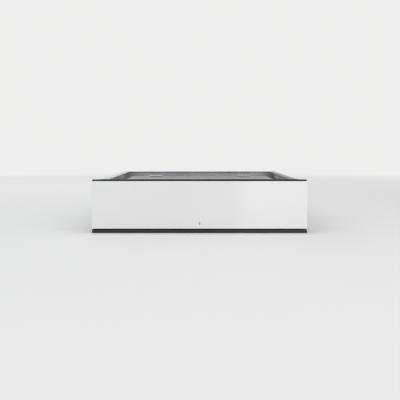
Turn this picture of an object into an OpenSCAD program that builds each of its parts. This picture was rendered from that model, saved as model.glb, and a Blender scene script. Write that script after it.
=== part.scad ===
// Built-in vacuum sealing drawer, 600 mm wide class.
//
// A steel housing is held by four screws through its front frame. A drawer on three-part ball runners
// slides out of it and carries a deep-drawn vacuum chamber with a hinged glass lid, a lifting seal bar,
// the vacuum pump and the electronics. The front is one sheet of back-painted white glass.
//
// Frame: +Z up, the front looks along -Y, and X runs across the width. The origin is the middle of the
// footprint, on the surface that the housing stands on. All sizes are millimetres.

/* [Glass front] */
// Width of the glass front
glass_w = 594; // [580:1:640]
// Height of the glass front
glass_h = 131.5; // [126:0.5:150]
// Thickness of the glass front
glass_t = 5; // [4:0.5:8]
// Corner radius of the glass front
glass_r = 2.5; // [1.5:0.5:6]
// How far the glass stands out past the steel pan behind it
glass_overhang = 2; // [1:0.5:4]
// Depth of the steel pan behind the glass
carrier_d = 14; // [12:1:18]

/* [Front frame] */
// How far the frame stands out past the glass at each side
frame_side = 1.5; // [0.5:0.5:5]
// Height of frame that shows above the glass
frame_above = 3.5; // [2:0.5:6]
// Height from the frame's lower edge up to the glass
frame_below = 13; // [11:0.5:18]
// Thickness of the frame's sheet
frame_t = 1.5; // [1:0.1:2]
// Height of the bar over the drawer opening
frame_bar = 5; // [4:0.5:7]
// Gap between the trim strip and the glass above it
trim_gap = 3.5; // [2.5:0.5:5]
// How far the trim strip's face lies behind the glass face
trim_recess = 5; // [3:0.5:12]
// Gap between the closed front and the frame, which the push latch works in
push_gap = 4.5; // [4.4:0.1:6]
// Distance from the frame's side edge to the mounting screws
mount_screw_edge = 10.5; // [8:0.5:13]
// Height between the mounting screws
mount_screw_z = 98; // [80:1:110]
// Diameter of the mounting screw holes
mount_screw_hole = 4.8; // [4:0.1:6]

/* [Housing] */
// How far the glass reaches past the housing at each side
front_reach = 19; // [17:0.5:22]
// Depth of the housing behind the frame
body_d = 540; // [530:1:580]
// Thickness of the housing's sheet
sheet_t = 1; // [0.8:0.1:1.5]
// Width of the folded flanges
flange_w = 18; // [14:1:22]
// Thickness of the rubber pads under the housing
pad_t = 2; // [1.5:0.5:3]

/* [Runners] */
// How much shorter a runner is than the housing
runner_short = 40; // [30:1:80]
// Height of a runner
runner_h = 45; // [43:1:53]
// Depth of the flanges of the drawer's runner member
member_depth = 6.7; // [6.4:0.1:7.5]
// Radius of the balls between the outer and the middle member
ball_r = 1.6; // [1.4:0.1:1.8]
// Balls in each row
balls_in_row = 6; // [4:1:8]

/* [Drawer] */
// Thickness of the drawer's sheet
chassis_t = 1; // [0.8:0.1:1.5]
// Thickness of the stainless deck
deck_t = 1.2; // [1:0.1:1.5]
// Gap between the drawer and the housing's rear wall
rear_gap = 14; // [10:1:20]
// Gap that the seal bar lift and the push latch leave before parts touch
rest_gap = 0.3; // [0.2:0.05:0.5]

/* [Chamber] */
// Width of the bay beside the vacuum chamber for electronics and valves
side_bay = 88.3; // [84:0.1:98]
// Depth of the bay behind the vacuum chamber for the pump
pump_bay = 178; // [170:1:198]
// Height of the room under the vacuum chamber
under_room = 26; // [24:0.5:34]
// Corner radius of the chamber opening
chamber_r = 32; // [26:1:45]
// Wall of the chamber
chamber_t = 1.2; // [1:0.1:1.5]
// Width of the flange round the chamber
rim_w = 16; // [14:1:18]

/* [Lid] */
// Thickness of the lid glass
lid_t = 8; // [6:0.5:9]
// Corner radius of the lid glass
lid_r = 14; // [8:1:20]
// How far the lid reaches past the chamber at each side
lid_side = 55; // [48:1:60]
// How far the lid reaches past the chamber at the front
lid_ahead = 22; // [20:1:26]
// How far the lid reaches past the chamber at the rear
lid_behind = 38; // [36:1:44]
// Distance from the lid's rear edge to the hinge pin
pivot_back = 11; // [10:0.5:13]
// Distance of each hinge from the middle
hinge_x = 150; // [120:1:180]
// Radius of a hinge pin
hinge_pin_r = 3; // [2.5:0.1:3.5]
// Height of the lid gasket
gasket_h = 3; // [2:0.5:4]
// Width of the lid gasket
gasket_w = 8; // [6:0.5:9]

/* [Seal bar] */
// Gap between each end of the seal bar and the chamber's wall
bar_end = 25; // [18:1:40]
// Front-to-rear size of the seal bar
bar_d = 14; // [12:1:16]
// Height of the seal bar
bar_h = 15; // [12:1:18]
// How far the bar lifts to press the bag against the lid's strip
seal_travel = 9; // [5:0.5:10]
// Distance from each end of the seal bar to its lift pin
lift_in = 40; // [30:1:60]
// Radius of a lift pin
lift_pin_r = 4; // [3:0.5:4.5]

/* [Control strip] */
// Distance from the drawer's side to the touch glass
touch_side = 43.3; // [30:0.1:70]
// Front-to-rear size of the touch glass
touch_d = 44; // [38:1:46]
// Thickness of the touch glass
touch_t = 3; // [2:0.5:3.5]

/* [Pump] */
// Radius of the pump motor
motor_r = 42; // [38:0.5:43]
// Length of the pump motor
motor_l = 120; // [110:1:130]
// Radius of the shaft
shaft_r = 7; // [6:0.5:8]
// Radius of the pump's rotor
rotor_r = 24; // [22:0.5:25]
// Width of the cooling fan
fan_w = 80; // [70:1:84]

/* [Hidden] */
$fn = 64;
arc_steps = 8;           // segments in each rounded corner of a swept outline
run_fit = 0.05;          // radial clearance of a pin or shaft that turns or slides
screw_fit = 0.15;        // radial clearance of a screw in its hole
edge = 0.6;              // ground edge of a sheet of glass

// Depths, measured back from the glass face
chassis_front = glass_t + carrier_d;
frame_front = chassis_front + push_gap;
frame_back = frame_front + frame_t;
rear_outer = frame_back + body_d;
rear_inner = rear_outer - sheet_t;
chassis_rear = rear_inner - rear_gap;
screw_head_h = 1.8;
screw_head_r = 3.6;
screw_r = 1.9;
overall_d = rear_outer + screw_head_h;

// Heights above the surface that the housing stands on
frame_low = 0.5;
frame_h = frame_below + glass_h + frame_above;
pan_top = pad_t + sheet_t;
trim_top = frame_below - trim_gap;
window_top = frame_h - frame_bar;
wall_top = frame_h - frame_t;
chassis_rise = 1;
chassis_z = frame_below + chassis_rise;
floor_top = chassis_z + chassis_t;
arm_t = 2.5;
dome_h = 1.5;
lid_headroom = 1.5;
lid_top = window_top - lid_headroom - dome_h - arm_t;
lid_z = lid_top - lid_t;
rim_top = lid_z - rest_gap - gasket_h;
deck_top = rim_top - chamber_t;
deck_z = deck_top - deck_t;
chamber_under = floor_top + under_room;
chamber_floor = chamber_under + chamber_t;
runner_z = (chassis_z + deck_z) / 2;
pivot_z = lid_z + lid_t / 2;

// Runner section, from the housing's wall inwards
race_t = 1.3;
middle_t = 1.1;
cage_web = 0.5;
web_gap = 0.6;
outer_cage_x = race_t + web_gap;
middle_play = 0.2;
middle_x = outer_cage_x + cage_web + web_gap + middle_play;
inner_cage_x = middle_x + middle_t + web_gap;
inner_x = inner_cage_x + cage_web + web_gap;
runner_t = inner_x + member_depth;
middle_end = runner_t - middle_t - web_gap;
outer_back = 1.4;
outer_end = middle_end - outer_back;

// Half widths
body_w = glass_w - 2 * front_reach;
runner_l = body_d - runner_short;
wall_in = body_w / 2 - sheet_t;
chassis_x = wall_in - runner_t;
chassis_in = chassis_x - chassis_t;
frame_x = glass_w / 2 + frame_side;
carrier_x = glass_w / 2 - glass_overhang;

// Layout of the deck, front to rear
front_to_touch = 8;
touch_to_lid = 9;
pin_to_cover = 13;
touch_front = chassis_front + front_to_touch;
lid_front = touch_front + touch_d + touch_to_lid;
touch_w = 2 * (chassis_in - touch_side);
chamber_w = 2 * (chassis_in - side_bay);
chamber_front = lid_front + lid_ahead;
chamber_rear = chassis_rear - pump_bay;
chamber_d = chamber_rear - chamber_front;
chamber_mid = (chamber_front + chamber_rear) / 2;
bar_w = chamber_w - 2 * bar_end;
lift_x = bar_w / 2 - lift_in;
lid_w = chamber_w + 2 * lid_side;
lid_d = lid_ahead + chamber_d + lid_behind;
lid_rear = lid_front + lid_d;
pivot_d = lid_rear + pivot_back;
cover_front = pivot_d + pin_to_cover;
tub_draft = 4;
tub_fillet = 12;
bush_wall = 2;
bush_r = lift_pin_r + bush_wall;
bush_flange_w = 3;
bush_flange_r = bush_r + bush_flange_w;
fillet_to_bush = 1;
bar_mid = chamber_front + tub_draft + tub_fillet + bush_flange_r + fillet_to_bush;

// Everything under the lid's strip hangs from the lid downwards
holder_h = 5;
holder_d = 20;
strip_d = 10;
strip_proud = 3;
strip_bottom = lid_z - holder_h - strip_proud;
strip_seat = 2;
strip_past = 3;
holder_end = 2;
film_gap = 0.5;
heater_t = 1;
heater_top = strip_bottom - film_gap - seal_travel;
bar_top = heater_top - heater_t;
bar_z = bar_top - bar_h;
piston_t = 2.5;
lift_r = 19;
lift_floor_gap = 4;
lift_h = under_room - lift_floor_gap;
lift_wall = 2;
lift_side_wall = 4;
lift_bore = lift_r - lift_side_wall;
piston_r = lift_bore - run_fit;
lift_z = chamber_under - lift_h;
bush_flange_t = 1.5;
bush_drop = 3;
bush_rise = 6;
neck_step = 1;
neck_h = 7;
neck_room = 1;
air_port_z = lift_z + 11;

// Pump unit, along X behind the chamber
cradle_t = 2;
mount_h = 8;
mount_r = 8;
cradle_z = floor_top + mount_h;
motor_clear = 0.5;
motor_z = cradle_z + cradle_t + motor_clear + motor_r;
cradle_d = 92;
cradle_past = 12;
cradle_rear_gap = 19;
pump_d = chassis_rear - cradle_d / 2 - cradle_rear_gap;
fan_side_gap = 33.3;
fan_x = chassis_in - fan_w / 2 - fan_side_gap;
toroid_r = 42;
toroid_side_gap = 45.3;
toroid_x = -(chassis_in - toroid_r - toroid_side_gap);
pump_l = 50;
cradle_ahead = 20;
cradle_l = motor_l + pump_l + cradle_ahead + cradle_past;
motor_x0 = (toroid_x + toroid_r + fan_x - fan_w / 2) / 2 - cradle_l / 2 + cradle_past;
motor_x1 = motor_x0 + motor_l;
pump_cover_t = 8;
cover_skin = 2;
pump_end_wall = 3;
vane_slot_floor = 2;
pump_x1 = motor_x1 + pump_l;
pump_half = 41;
bore_shift = 3.5;
bore_gap = 0.5;
bore_r = rotor_r + bore_shift + bore_gap;
rotor_gap = 0.3;
shaft_end_gap = 0.5;
vane_t = 3;
port_z = motor_z + 34;
port_x = motor_x1 + pump_l / 2;

// Electronics, valves and hoses
barb_l = 8;
hose_r = 6;
barb_r = hose_r - 1;
air_hose_r = 3.5;
strainer_side = 50;
strainer_back = 40;
strainer_x = chamber_w / 2 - strainer_side;
strainer_d = chamber_rear - strainer_back;
elbow_z = chamber_under - 14;
elbow_l = 25;
valve_w = 56;
valve_d = 50;
valve_h = 26;
valve_side_gap = 11.3;
valve_lo = [chassis_in - valve_side_gap - valve_w, strainer_d - valve_d / 2];
valve_port_in = 14;
valve_out_z = floor_top + 13;
valve_air_z = floor_top + 11;
toroid_back = 9;
toroid_d = (chamber_rear + chassis_rear) / 2 + toroid_back;
toroid_hole = 18;
toroid_h = 42;
board_side_gap = 7.3;
board_ahead_gap = 8;
board_lo = [board_side_gap - chassis_in, chamber_front + board_ahead_gap];
board_w = side_bay - 28.3;
board_l = chamber_d - 50;
board_t = 1.6;
standoff_h = 8;
board_z = floor_top + standoff_h;
tray_wall = 2;
tray_h = 12;
post_h = 4;
touch_r = 3;
touch_proud = 0.5;
inlet_side_gap = 38.3;
inlet_x = inlet_side_gap - chassis_in;
inlet_z = 60;
inlet_half = [14, 10.5];
inlet_l = 22;
fan_d = 25;
fan_z = motor_z;
fan_open_r = fan_w / 2 - 4;
hub_r = fan_w / 5;
axle_r = 2.5;
axle_in = 8;

// Latch between the base pan and the drawer
latch_w = 30;
latch_l = 60;
latch_gap = 0.6;
latch_h = frame_below - pan_top - latch_gap;
latch_rear_gap = 23;
striker_d = rear_outer - flange_w - latch_l - latch_rear_gap;
striker_t = 2;
push_in = 3;
plunger_r = 3.2;
plunger_z = pan_top + latch_h / 2;
plunger_play = 0.2;
plunger_tip = striker_d + striker_t + push_in + rest_gap + plunger_play;
plunger_out = 14;
latch_front = plunger_tip + plunger_out;
latch_end_wall = 6;
latch_ear_t = 2.5;

// Places of repeated screws, shared by the screws and their holes
chassis_turn = 14;
deck_screw_x = chassis_in - chassis_turn / 2;
deck_screws = [for (s = [-1, 1],
    d = [lid_front + 15, chamber_mid, cover_front - 12]) [s * deck_screw_x, d]];
cover_screws = [for (s = [-1, 1],
    d = [cover_front + 14, chassis_rear - chassis_turn]) [s * deck_screw_x, d]];
rear_screw_low = 29;
rear_screw_high = 26.5;
rear_screws = [for (s = [-1, 1],
    z = [pan_top + rear_screw_low, (pan_top + wall_top) / 2, wall_top - rear_screw_high])
    [s * (wall_in - flange_w / 2), z]];
mount_holes = [for (s = [-1, 1], t = [-1, 1])
    [s * (frame_x - mount_screw_edge), frame_h / 2 + t * mount_screw_z / 2]];
bolt_half = 12;
bolt_d = lid_rear - 16;
lid_bolts = [for (s = [-1, 1], t = [-1, 1]) [s * hinge_x + t * bolt_half, bolt_d]];
lid_bolt_r = 2.5;
glass_hole_gap = 1;
washer_t = 1.5;
bracket_t = 2;
bracket_half = 34;
bracket_screw_in = 4.5;
bracket_screws = [for (s = [-1, 1], t = [-1, 1])
    [s * hinge_x + t * (bracket_half - bracket_screw_in), pivot_d]];
fan_screw_at = fan_w / 2 - 4.5;
fan_screws = [for (s = [-1, 1], t = [-1, 1]) [fan_x + s * fan_screw_at, fan_z + t * fan_screw_at]];
latch_screws = [for (s = [-1, 1]) [s * (latch_w / 2 + 5), latch_front + latch_l / 2]];
rivet_r = 1.6;
rivet_h = 0.9;
frame_to_runner = 8;
runner_front = frame_back + frame_to_runner;
runner_rivets = [for (t = [0.05, 0.35, 0.65, 0.95]) runner_front + t * runner_l];
frame_rivet_out = 9;
frame_rivet_half = 14;
frame_rivets = [for (s = [-1, 1], t = [-1, 1])
    [s * (body_w / 2 + frame_rivet_out), frame_h / 2 + t * frame_rivet_half]];
pan_rivet_end = 60;
pan_rivets = [for (s = [-1, 1],
    d = [frame_back + pan_rivet_end, (frame_back + rear_outer) / 2, rear_outer - pan_rivet_end])
    [s * (wall_in - flange_w / 4), d]];

steel = [0.72, 0.73, 0.74];
zinc = [0.66, 0.69, 0.70];
stainless = [0.78, 0.78, 0.77];
anthracite = [0.20, 0.20, 0.20];
black = [0.05, 0.05, 0.06];

// Distance behind the glass face turned into Y
function at(d) = d - overall_d / 2;

// Helpers

// A block between two opposite corners
module block(lo, hi) {
    translate(lo) cube(hi - lo);
}

// A block given by its half width, its depths behind the glass face and its heights
module bar_across(half, d0, d1, z0, z1) {
    block([-half, at(d0), z0], [half, at(d1), z1]);
}

// Mirrored copies on both sides
module both_sides() {
    children();
    mirror([1, 0, 0]) children();
}

// A cylinder along X from x0 to x1, at a depth and a height
module rod_x(r, x0, x1, d, z) {
    translate([x0, at(d), z]) rotate([0, 90, 0]) cylinder(r = r, h = x1 - x0);
}

// A cylinder along Y between two depths
module rod_y(r, x, d0, d1, z) {
    translate([x, at(d1), z]) rotate([90, 0, 0]) cylinder(r = r, h = d1 - d0);
}

// An upright cylinder between two heights
module rod_z(r, x, d, z0, z1) {
    translate([x, at(d), z0]) cylinder(r = r, h = z1 - z0);
}

function arc(cx, cy, r, from) = [for (i = [0:arc_steps])
    let (a = from + 90 * i / arc_steps) [cx + r * cos(a), cy + r * sin(a)]];

// Outline of a rectangle with round corners, centred
function rounded(w, h, r) = concat(
    arc(w / 2 - r, h / 2 - r, r, 0), arc(r - w / 2, h / 2 - r, r, 90),
    arc(r - w / 2, r - h / 2, r, 180), arc(w / 2 - r, r - h / 2, r, 270));

// One closed surface through rings of points; loop joins the last ring to the first
module skin(rings, loop = false) {
    n = len(rings[0]);
    m = len(rings);
    walls = [for (k = [0:(loop ? m - 1 : m - 2)], i = [0:n - 1])
        let (a = k * n, b = ((k + 1) % m) * n, j = (i + 1) % n)
        each [[a + i, b + i, b + j], [a + i, b + j, a + j]]];
    caps = loop ? [] : [[for (i = [0:n - 1]) i], [for (i = [n - 1:-1:0]) (m - 1) * n + i]];
    polyhedron([for (ring = rings) each ring], concat(walls, caps), convexity = 6);
}

// A rounded rectangle carried through steps of [growth on every side, height]
module stepped(w, d, r, steps, loop = false) {
    skin([for (s = steps) [for (p = rounded(w + 2 * s[0], d + 2 * s[0], r + s[0])) [p[0], p[1], s[1]]]],
        loop);
}

// A sheet of glass with ground edges
module glass_sheet(w, d, r, t) {
    stepped(w, d, r, [[-edge, 0], [-edge / 3, edge / 3], [0, edge], [0, t - edge],
        [-edge / 3, t - edge / 3], [-edge, t]]);
}

function unit(v) = v / norm(v);
function bezier(p, t) = pow(1 - t, 3) * p[0] + 3 * t * pow(1 - t, 2) * p[1]
    + 3 * t * t * (1 - t) * p[2] + pow(t, 3) * p[3];
function heading(path, i) = unit(path[min(i + 1, len(path) - 1)] - path[max(i - 1, 0)]);

// A round tube along a path; ref is any direction that the path never takes
module tube_along(path, r, sides, ref) {
    skin([for (i = [0:len(path) - 1])
        let (t = heading(path, i), u = unit(cross(t, ref)), v = cross(t, u))
        [for (k = [0:sides - 1]) path[i] + r * (cos(360 * k / sides) * u + sin(360 * k / sides) * v)]]);
}

// A hose or lead along a smooth curve with straight ends, its points given as [x, depth, height]
module flex(points, r, ref = [0, 0, 1], rings = 16) {
    p = [for (q = points) [q[0], at(q[1]), q[2]]];
    a = p[0] + r * unit(p[1] - p[0]);
    b = p[3] + r * unit(p[2] - p[3]);
    c = [a, p[1], p[2], b];
    tube_along(concat([p[0]], [for (i = [0:rings]) bezier(c, i / rings)], [p[3]]), r, 8, ref);
}

// A pan-head screw along +Z, its head standing on z = 0 and its shank below
module pan_screw(length) {
    difference() {
        union() {
            cylinder(r = screw_head_r, h = screw_head_h);
            translate([0, 0, -length]) cylinder(r = screw_r, h = length + screw_head_h / 2);
        }
        translate([0, 0, screw_head_h / 2]) cylinder(r = 1.6, h = screw_head_h, $fn = 6);
    }
}

// A rivet along +Z: a domed head on z = 0, a shank below and, if asked for, a flat closing head
module rivet(grip, closing = 0) {
    r = rivet_r;
    rotate_extrude($fn = 32)
        polygon(concat([[0, rivet_h], [1.3 * r, rivet_h], [1.8 * r, rivet_h / 2], [2 * r, 0], [r, 0],
            [r, -grip]],
            closing > 0 ? [[1.6 * r, -grip], [1.6 * r, -grip - closing]] : [], [[0, -grip - closing]]));
}

// Housing

module pads() {
    pad_r = 14;
    side_in = 35;
    end_in = 40;
    color([0.1, 0.1, 0.1])
    for (s = [-1, 1], d = [frame_back + end_in, rear_inner - end_in])
        rod_z(pad_r, s * (wall_in - side_in), d, 0, pad_t);
}

module base_sheet() {
    slot_l = 60;
    slot_w = 5;
    slot_pitch = 14;
    slots_in = 107;
    slots_rear = 70;
    color(zinc) difference() {
        bar_across(wall_in, frame_back + sheet_t, rear_inner, pad_t, pan_top);
        for (s = latch_screws) rod_z(screw_r + screw_fit, s[0], s[1], pad_t - 1, pan_top + 1);
        for (s = pan_rivets) rod_z(rivet_r + run_fit, s[0], s[1], pad_t - 1, pan_top + 1);
        for (s = [-1, 1], i = [0:4])
            translate([s * (wall_in - slots_in) - slot_l / 2,
                at(rear_inner - slots_rear - slot_pitch * i), pad_t - 1])
                cube([slot_l, slot_w, sheet_t + 2]);
    }
}

// One side of the housing, on the +X side: an upright sheet with folded flanges
module housing_side() {
    frame_back_in = 2;
    turn_low = 12;
    turn_high = 14;
    vent_w = 6;
    vent_h = 22;
    vent_pitch = 16;
    vent_rear = 60;
    vent_top = wall_top - 12;
    color(zinc) difference() {
        union() {
            block([wall_in, at(frame_back), pad_t], [body_w / 2, at(rear_outer), wall_top]);
            block([wall_in - flange_w, at(frame_back), wall_top - sheet_t],
                [body_w / 2, at(rear_outer), wall_top]);
            block([wall_in - flange_w / 2, at(frame_back + sheet_t), pan_top],
                [body_w / 2, at(rear_inner), pan_top + sheet_t]);
            block([wall_in, at(frame_back), pad_t],
                [frame_x - frame_back_in, at(frame_back + sheet_t), wall_top]);
            block([wall_in - flange_w, at(rear_inner - sheet_t), pan_top + turn_low],
                [body_w / 2, at(rear_inner), wall_top - turn_high]);
        }
        for (h = mount_holes) if (h[0] > 0)
            rod_y(mount_screw_hole / 2, h[0], frame_front - 1, frame_back + sheet_t + 1, h[1]);
        for (s = rear_screws) if (s[0] > 0)
            rod_y(screw_r + screw_fit, s[0], rear_inner - 3, rear_outer, s[1]);
        for (s = frame_rivets) if (s[0] > 0)
            rod_y(rivet_r + run_fit, s[0], frame_back - 1, frame_back + sheet_t + 1, s[1]);
        for (s = pan_rivets) if (s[0] > 0)
            rod_z(rivet_r + run_fit, s[0], s[1], pan_top - 0.5, pan_top + sheet_t + 1);
        for (d = runner_rivets) rod_x(rivet_r + run_fit, wall_in - 1, body_w / 2 + 1, d, runner_z);
        for (i = [0:5])
            block([wall_in - 1, at(rear_outer - vent_rear - vent_pitch * i), vent_top - vent_h],
                [body_w / 2 + 1, at(rear_outer - vent_rear - vent_pitch * i + vent_w), vent_top]);
    }
}

module rear_sheet() {
    fan_slot = 3.6;
    fan_pitch = 7;
    window = [64, 48];
    window_r = 6;
    color(zinc) difference() {
        union() {
            bar_across(wall_in, rear_inner, rear_outer, pan_top, wall_top - sheet_t);
            bar_across(wall_in - flange_w - rest_gap, rear_outer - flange_w, rear_outer,
                wall_top - sheet_t, wall_top);
            bar_across(wall_in - flange_w, rear_outer - flange_w, rear_outer, pan_top,
                pan_top + sheet_t);
        }
        for (i = [-5:5])
            block([fan_x + fan_pitch * i - fan_slot / 2, at(rear_inner - 1), fan_z - fan_w / 2],
                [fan_x + fan_pitch * i + fan_slot / 2, at(rear_outer + 1), fan_z + fan_w / 2]);
        translate([inlet_x, at(rear_outer + 1), inlet_z]) rotate([90, 0, 0])
            translate([0, 0, -1]) linear_extrude(sheet_t + 4)
                polygon(rounded(window[0], window[1], window_r));
        for (s = rear_screws) rod_y(screw_r + screw_fit, s[0], rear_inner - 5, rear_outer + 1, s[1]);
    }
}

// The painted frame that shows round the glass
module frame_sheet() {
    color(anthracite) difference() {
        union() {
            bar_across(frame_x, frame_front, frame_back, frame_low, frame_h);
            bar_across(body_w / 2, frame_front, frame_back + flange_w, wall_top, frame_h);
        }
        block([-wall_in, at(frame_front - 1), trim_top], [wall_in, at(frame_back + 1), window_top]);
        for (h = mount_holes)
            rod_y(mount_screw_hole / 2, h[0], frame_front - 1, frame_back + 1, h[1]);
        for (s = frame_rivets) rod_y(rivet_r + run_fit, s[0], frame_front - 1, frame_back + 1, s[1]);
    }
}

// The strip below the glass: a closed channel standing out from the frame's lower bar
module trim_channel() {
    color(anthracite) difference() {
        bar_across(frame_x, trim_recess, frame_front, frame_low, trim_top);
        bar_across(frame_x - frame_t, trim_recess + frame_t, frame_front + 1, frame_low + frame_t,
            trim_top - frame_t);
    }
}

module buffers() {
    buffer_t = push_gap - push_in - rest_gap;
    buffer_r = 5;
    side_in = 8;
    half_span = 30;
    color([0.85, 0.85, 0.85])
    for (s = [-1, 1], t = [-1, 1])
        rod_y(buffer_r, s * (carrier_x - side_in), frame_front - buffer_t, frame_front,
            frame_h / 2 + t * half_span);
}

// Runner sections, drawn with the housing wall at x = 0 and the drawer towards +x
lip = 2;
lip_t = 1;
ball_fit = 0.1;
half_h = runner_h / 2;
row_1 = half_h - race_t - ball_r - ball_fit;
middle_half = row_1 - ball_r - ball_fit;
ball_step = 0.2;
inner_ball_r = ball_r - ball_step;
row_2 = middle_half - middle_t - inner_ball_r - ball_fit;
inner_half = row_2 - inner_ball_r - ball_fit;
row_1_x = middle_x + 2.2;
row_2_x = inner_x + 1.8;

// A channel section: a web with two flanges towards +x or -x
module channel(x_web, x_end, half, t) {
    block2(x_web, x_web + (x_end > x_web ? t : -t), -half, half);
    for (s = [-1, 1])
        block2(x_web, x_end, s * half, s * (half - t));
}

module block2(x0, x1, z0, z1) {
    translate([min(x0, x1), min(z0, z1)]) square([abs(x1 - x0), abs(z1 - z0)]);
}

module outer_section() {
    channel(0, outer_end, half_h, race_t);
    for (s = [-1, 1]) block2(outer_end - lip_t, outer_end, s * half_h, s * (half_h - race_t - lip));
}

module middle_section() {
    channel(middle_x, middle_end, middle_half, middle_t);
    for (s = [-1, 1]) block2(middle_end - lip_t, middle_end, s * middle_half,
        s * (middle_half - middle_t - lip));
}

module inner_section() {
    channel(runner_t, inner_x, inner_half, middle_t);
}

// Runs a section along the runner, on the side given by s, with rivet holes from x0 to x1
module runner_member(s, x0 = 0, x1 = 0) {
    color(steel)
    mirror([s > 0 ? 1 : 0, 0, 0]) difference() {
        translate([-wall_in, at(runner_front + runner_l), runner_z])
            rotate([90, 0, 0]) linear_extrude(runner_l) children();
        if (x1 > x0)
            for (d = runner_rivets) rod_x(rivet_r + run_fit, x0 - wall_in, x1 - wall_in, d, runner_z);
    }
}

// A ball cage of one side: a thin channel with the balls in its flanges
module cage(row, x_web, x_ball, r) {
    cage_t = 0.7;
    cage_past = 0.3;
    pocket_h = 4;
    pitch = 24;
    cage_l = pitch * balls_in_row;
    start = runner_front + runner_l / 2 - cage_l / 2;
    translate([-wall_in, 0, runner_z]) {
        color(steel) difference() {
            translate([0, at(start + cage_l), 0]) rotate([90, 0, 0]) linear_extrude(cage_l) {
                block2(x_web, x_web + cage_web, -row - cage_t / 2, row + cage_t / 2);
                for (s = [-1, 1]) block2(x_web, x_ball + r + cage_past, s * (row - cage_t / 2),
                    s * (row + cage_t / 2));
            }
            for (s = [-1, 1], i = [0:balls_in_row - 1])
                translate([x_ball, at(start + pitch * (i + 0.5)), s * row - pocket_h / 2])
                    cylinder(r = r + ball_fit, h = pocket_h, $fn = 24);
        }
        color([0.8, 0.8, 0.8])
        for (s = [-1, 1], i = [0:balls_in_row - 1])
            translate([x_ball, at(start + pitch * (i + 0.5)), s * row]) sphere(r = r, $fn = 24);
    }
}

module latch_case() {
    ear_w = 9;
    ear_l = 24;
    mid = latch_front + latch_l / 2;
    color([0.85, 0.85, 0.83]) difference() {
        union() {
            bar_across(latch_w / 2, latch_front, latch_front + latch_l, pan_top, pan_top + latch_h);
            bar_across(latch_w / 2 + ear_w, mid - ear_l / 2, mid + ear_l / 2, pan_top,
                pan_top + latch_ear_t);
        }
        rod_y(plunger_r + run_fit, 0, latch_front - 1, latch_front + latch_l - latch_end_wall,
            plunger_z);
        for (s = latch_screws) rod_z(screw_r + screw_fit, s[0], s[1], pan_top - 1, pan_top + 4);
    }
}

module plunger() {
    room_behind = 6;
    color([0.35, 0.36, 0.38]) rod_y(plunger_r, 0, plunger_tip,
        latch_front + latch_l - latch_end_wall - room_behind, plunger_z);
}

module housing_fasteners() {
    color(steel) {
        for (s = rear_screws) translate([s[0], at(rear_outer), s[1]]) rotate([-90, 0, 0]) pan_screw(4);
        for (s = latch_screws) translate([s[0], at(s[1]), pan_top + latch_ear_t])
            pan_screw(latch_ear_t + sheet_t + 0.5);
        for (s = frame_rivets) translate([s[0], at(frame_front), s[1]]) rotate([90, 0, 0])
            rivet(frame_t + sheet_t, 0.8);
        for (s = pan_rivets) translate([s[0], at(s[1]), pad_t]) mirror([0, 0, 1])
            rivet(2 * sheet_t, 0.6);
        both_sides() for (d = runner_rivets)
            translate([body_w / 2, at(d), runner_z]) rotate([0, 90, 0])
                rivet(sheet_t + race_t - run_fit);
    }
}

// Drawer front and chassis

module front_sheet() {
    color([0.93, 0.93, 0.92])
    translate([0, at(glass_t), frame_below + glass_h / 2]) rotate([90, 0, 0])
        glass_sheet(glass_w, glass_h, glass_r, glass_t);
}

module carrier() {
    low = frame_below + glass_overhang;
    high = frame_below + glass_h - glass_overhang;
    turn = 20;
    t = chassis_t;
    color(anthracite) difference() {
        bar_across(carrier_x, glass_t, chassis_front, low, high);
        bar_across(carrier_x - t, glass_t + t, chassis_front - t, low + t, high - t);
        bar_across(carrier_x - turn, chassis_front - 2 * t, chassis_front + 1, low + turn, high - turn);
    }
}

module chassis() {
    t = chassis_t;
    turn = chassis_turn;
    slot_w = 6;
    slot_pitch = 22;
    slots_left = -60;
    slot_half = 30;
    color(zinc) {
        difference() {
            union() {
                difference() {
                    bar_across(chassis_x, chassis_front, chassis_rear, chassis_z, deck_z);
                    bar_across(chassis_in, chassis_front + t, chassis_rear - t, floor_top, deck_z + 1);
                }
                both_sides() block([chassis_in - turn, at(chassis_front + t), deck_z - t],
                    [chassis_in, at(chassis_rear - t), deck_z]);
                bar_across(chassis_in, chassis_rear - turn, chassis_rear - t, deck_z - t, deck_z);
            }
            for (s = concat(deck_screws, cover_screws))
                rod_z(screw_r + screw_fit, s[0], s[1], deck_z - t - 1, deck_z + 1);
            translate([fan_x, at(chassis_rear + 1), fan_z]) rotate([90, 0, 0])
                cylinder(r = fan_open_r, h = t + 2);
            for (s = fan_screws) rod_y(screw_r + screw_fit, s[0], chassis_rear - t - 1,
                chassis_rear + 1, s[1]);
            both_sides() for (d = runner_rivets)
                rod_x(rivet_r + run_fit, chassis_in - 1, chassis_x + 1, d, runner_z);
            block([inlet_x - inlet_half[0], at(chassis_rear - t - 1), inlet_z - inlet_half[1]],
                [inlet_x + inlet_half[0], at(chassis_rear + 1), inlet_z + inlet_half[1]]);
            for (i = [0:5])
                block([slots_left + slot_pitch * i, at(pump_d - slot_half), chassis_z - 1],
                    [slots_left + slot_pitch * i + slot_w, at(pump_d + slot_half), floor_top + 1]);
        }
        block([-latch_w / 2, at(striker_d), pan_top + 1.5],
            [latch_w / 2, at(striker_d + striker_t), chassis_z]);
    }
}

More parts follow.
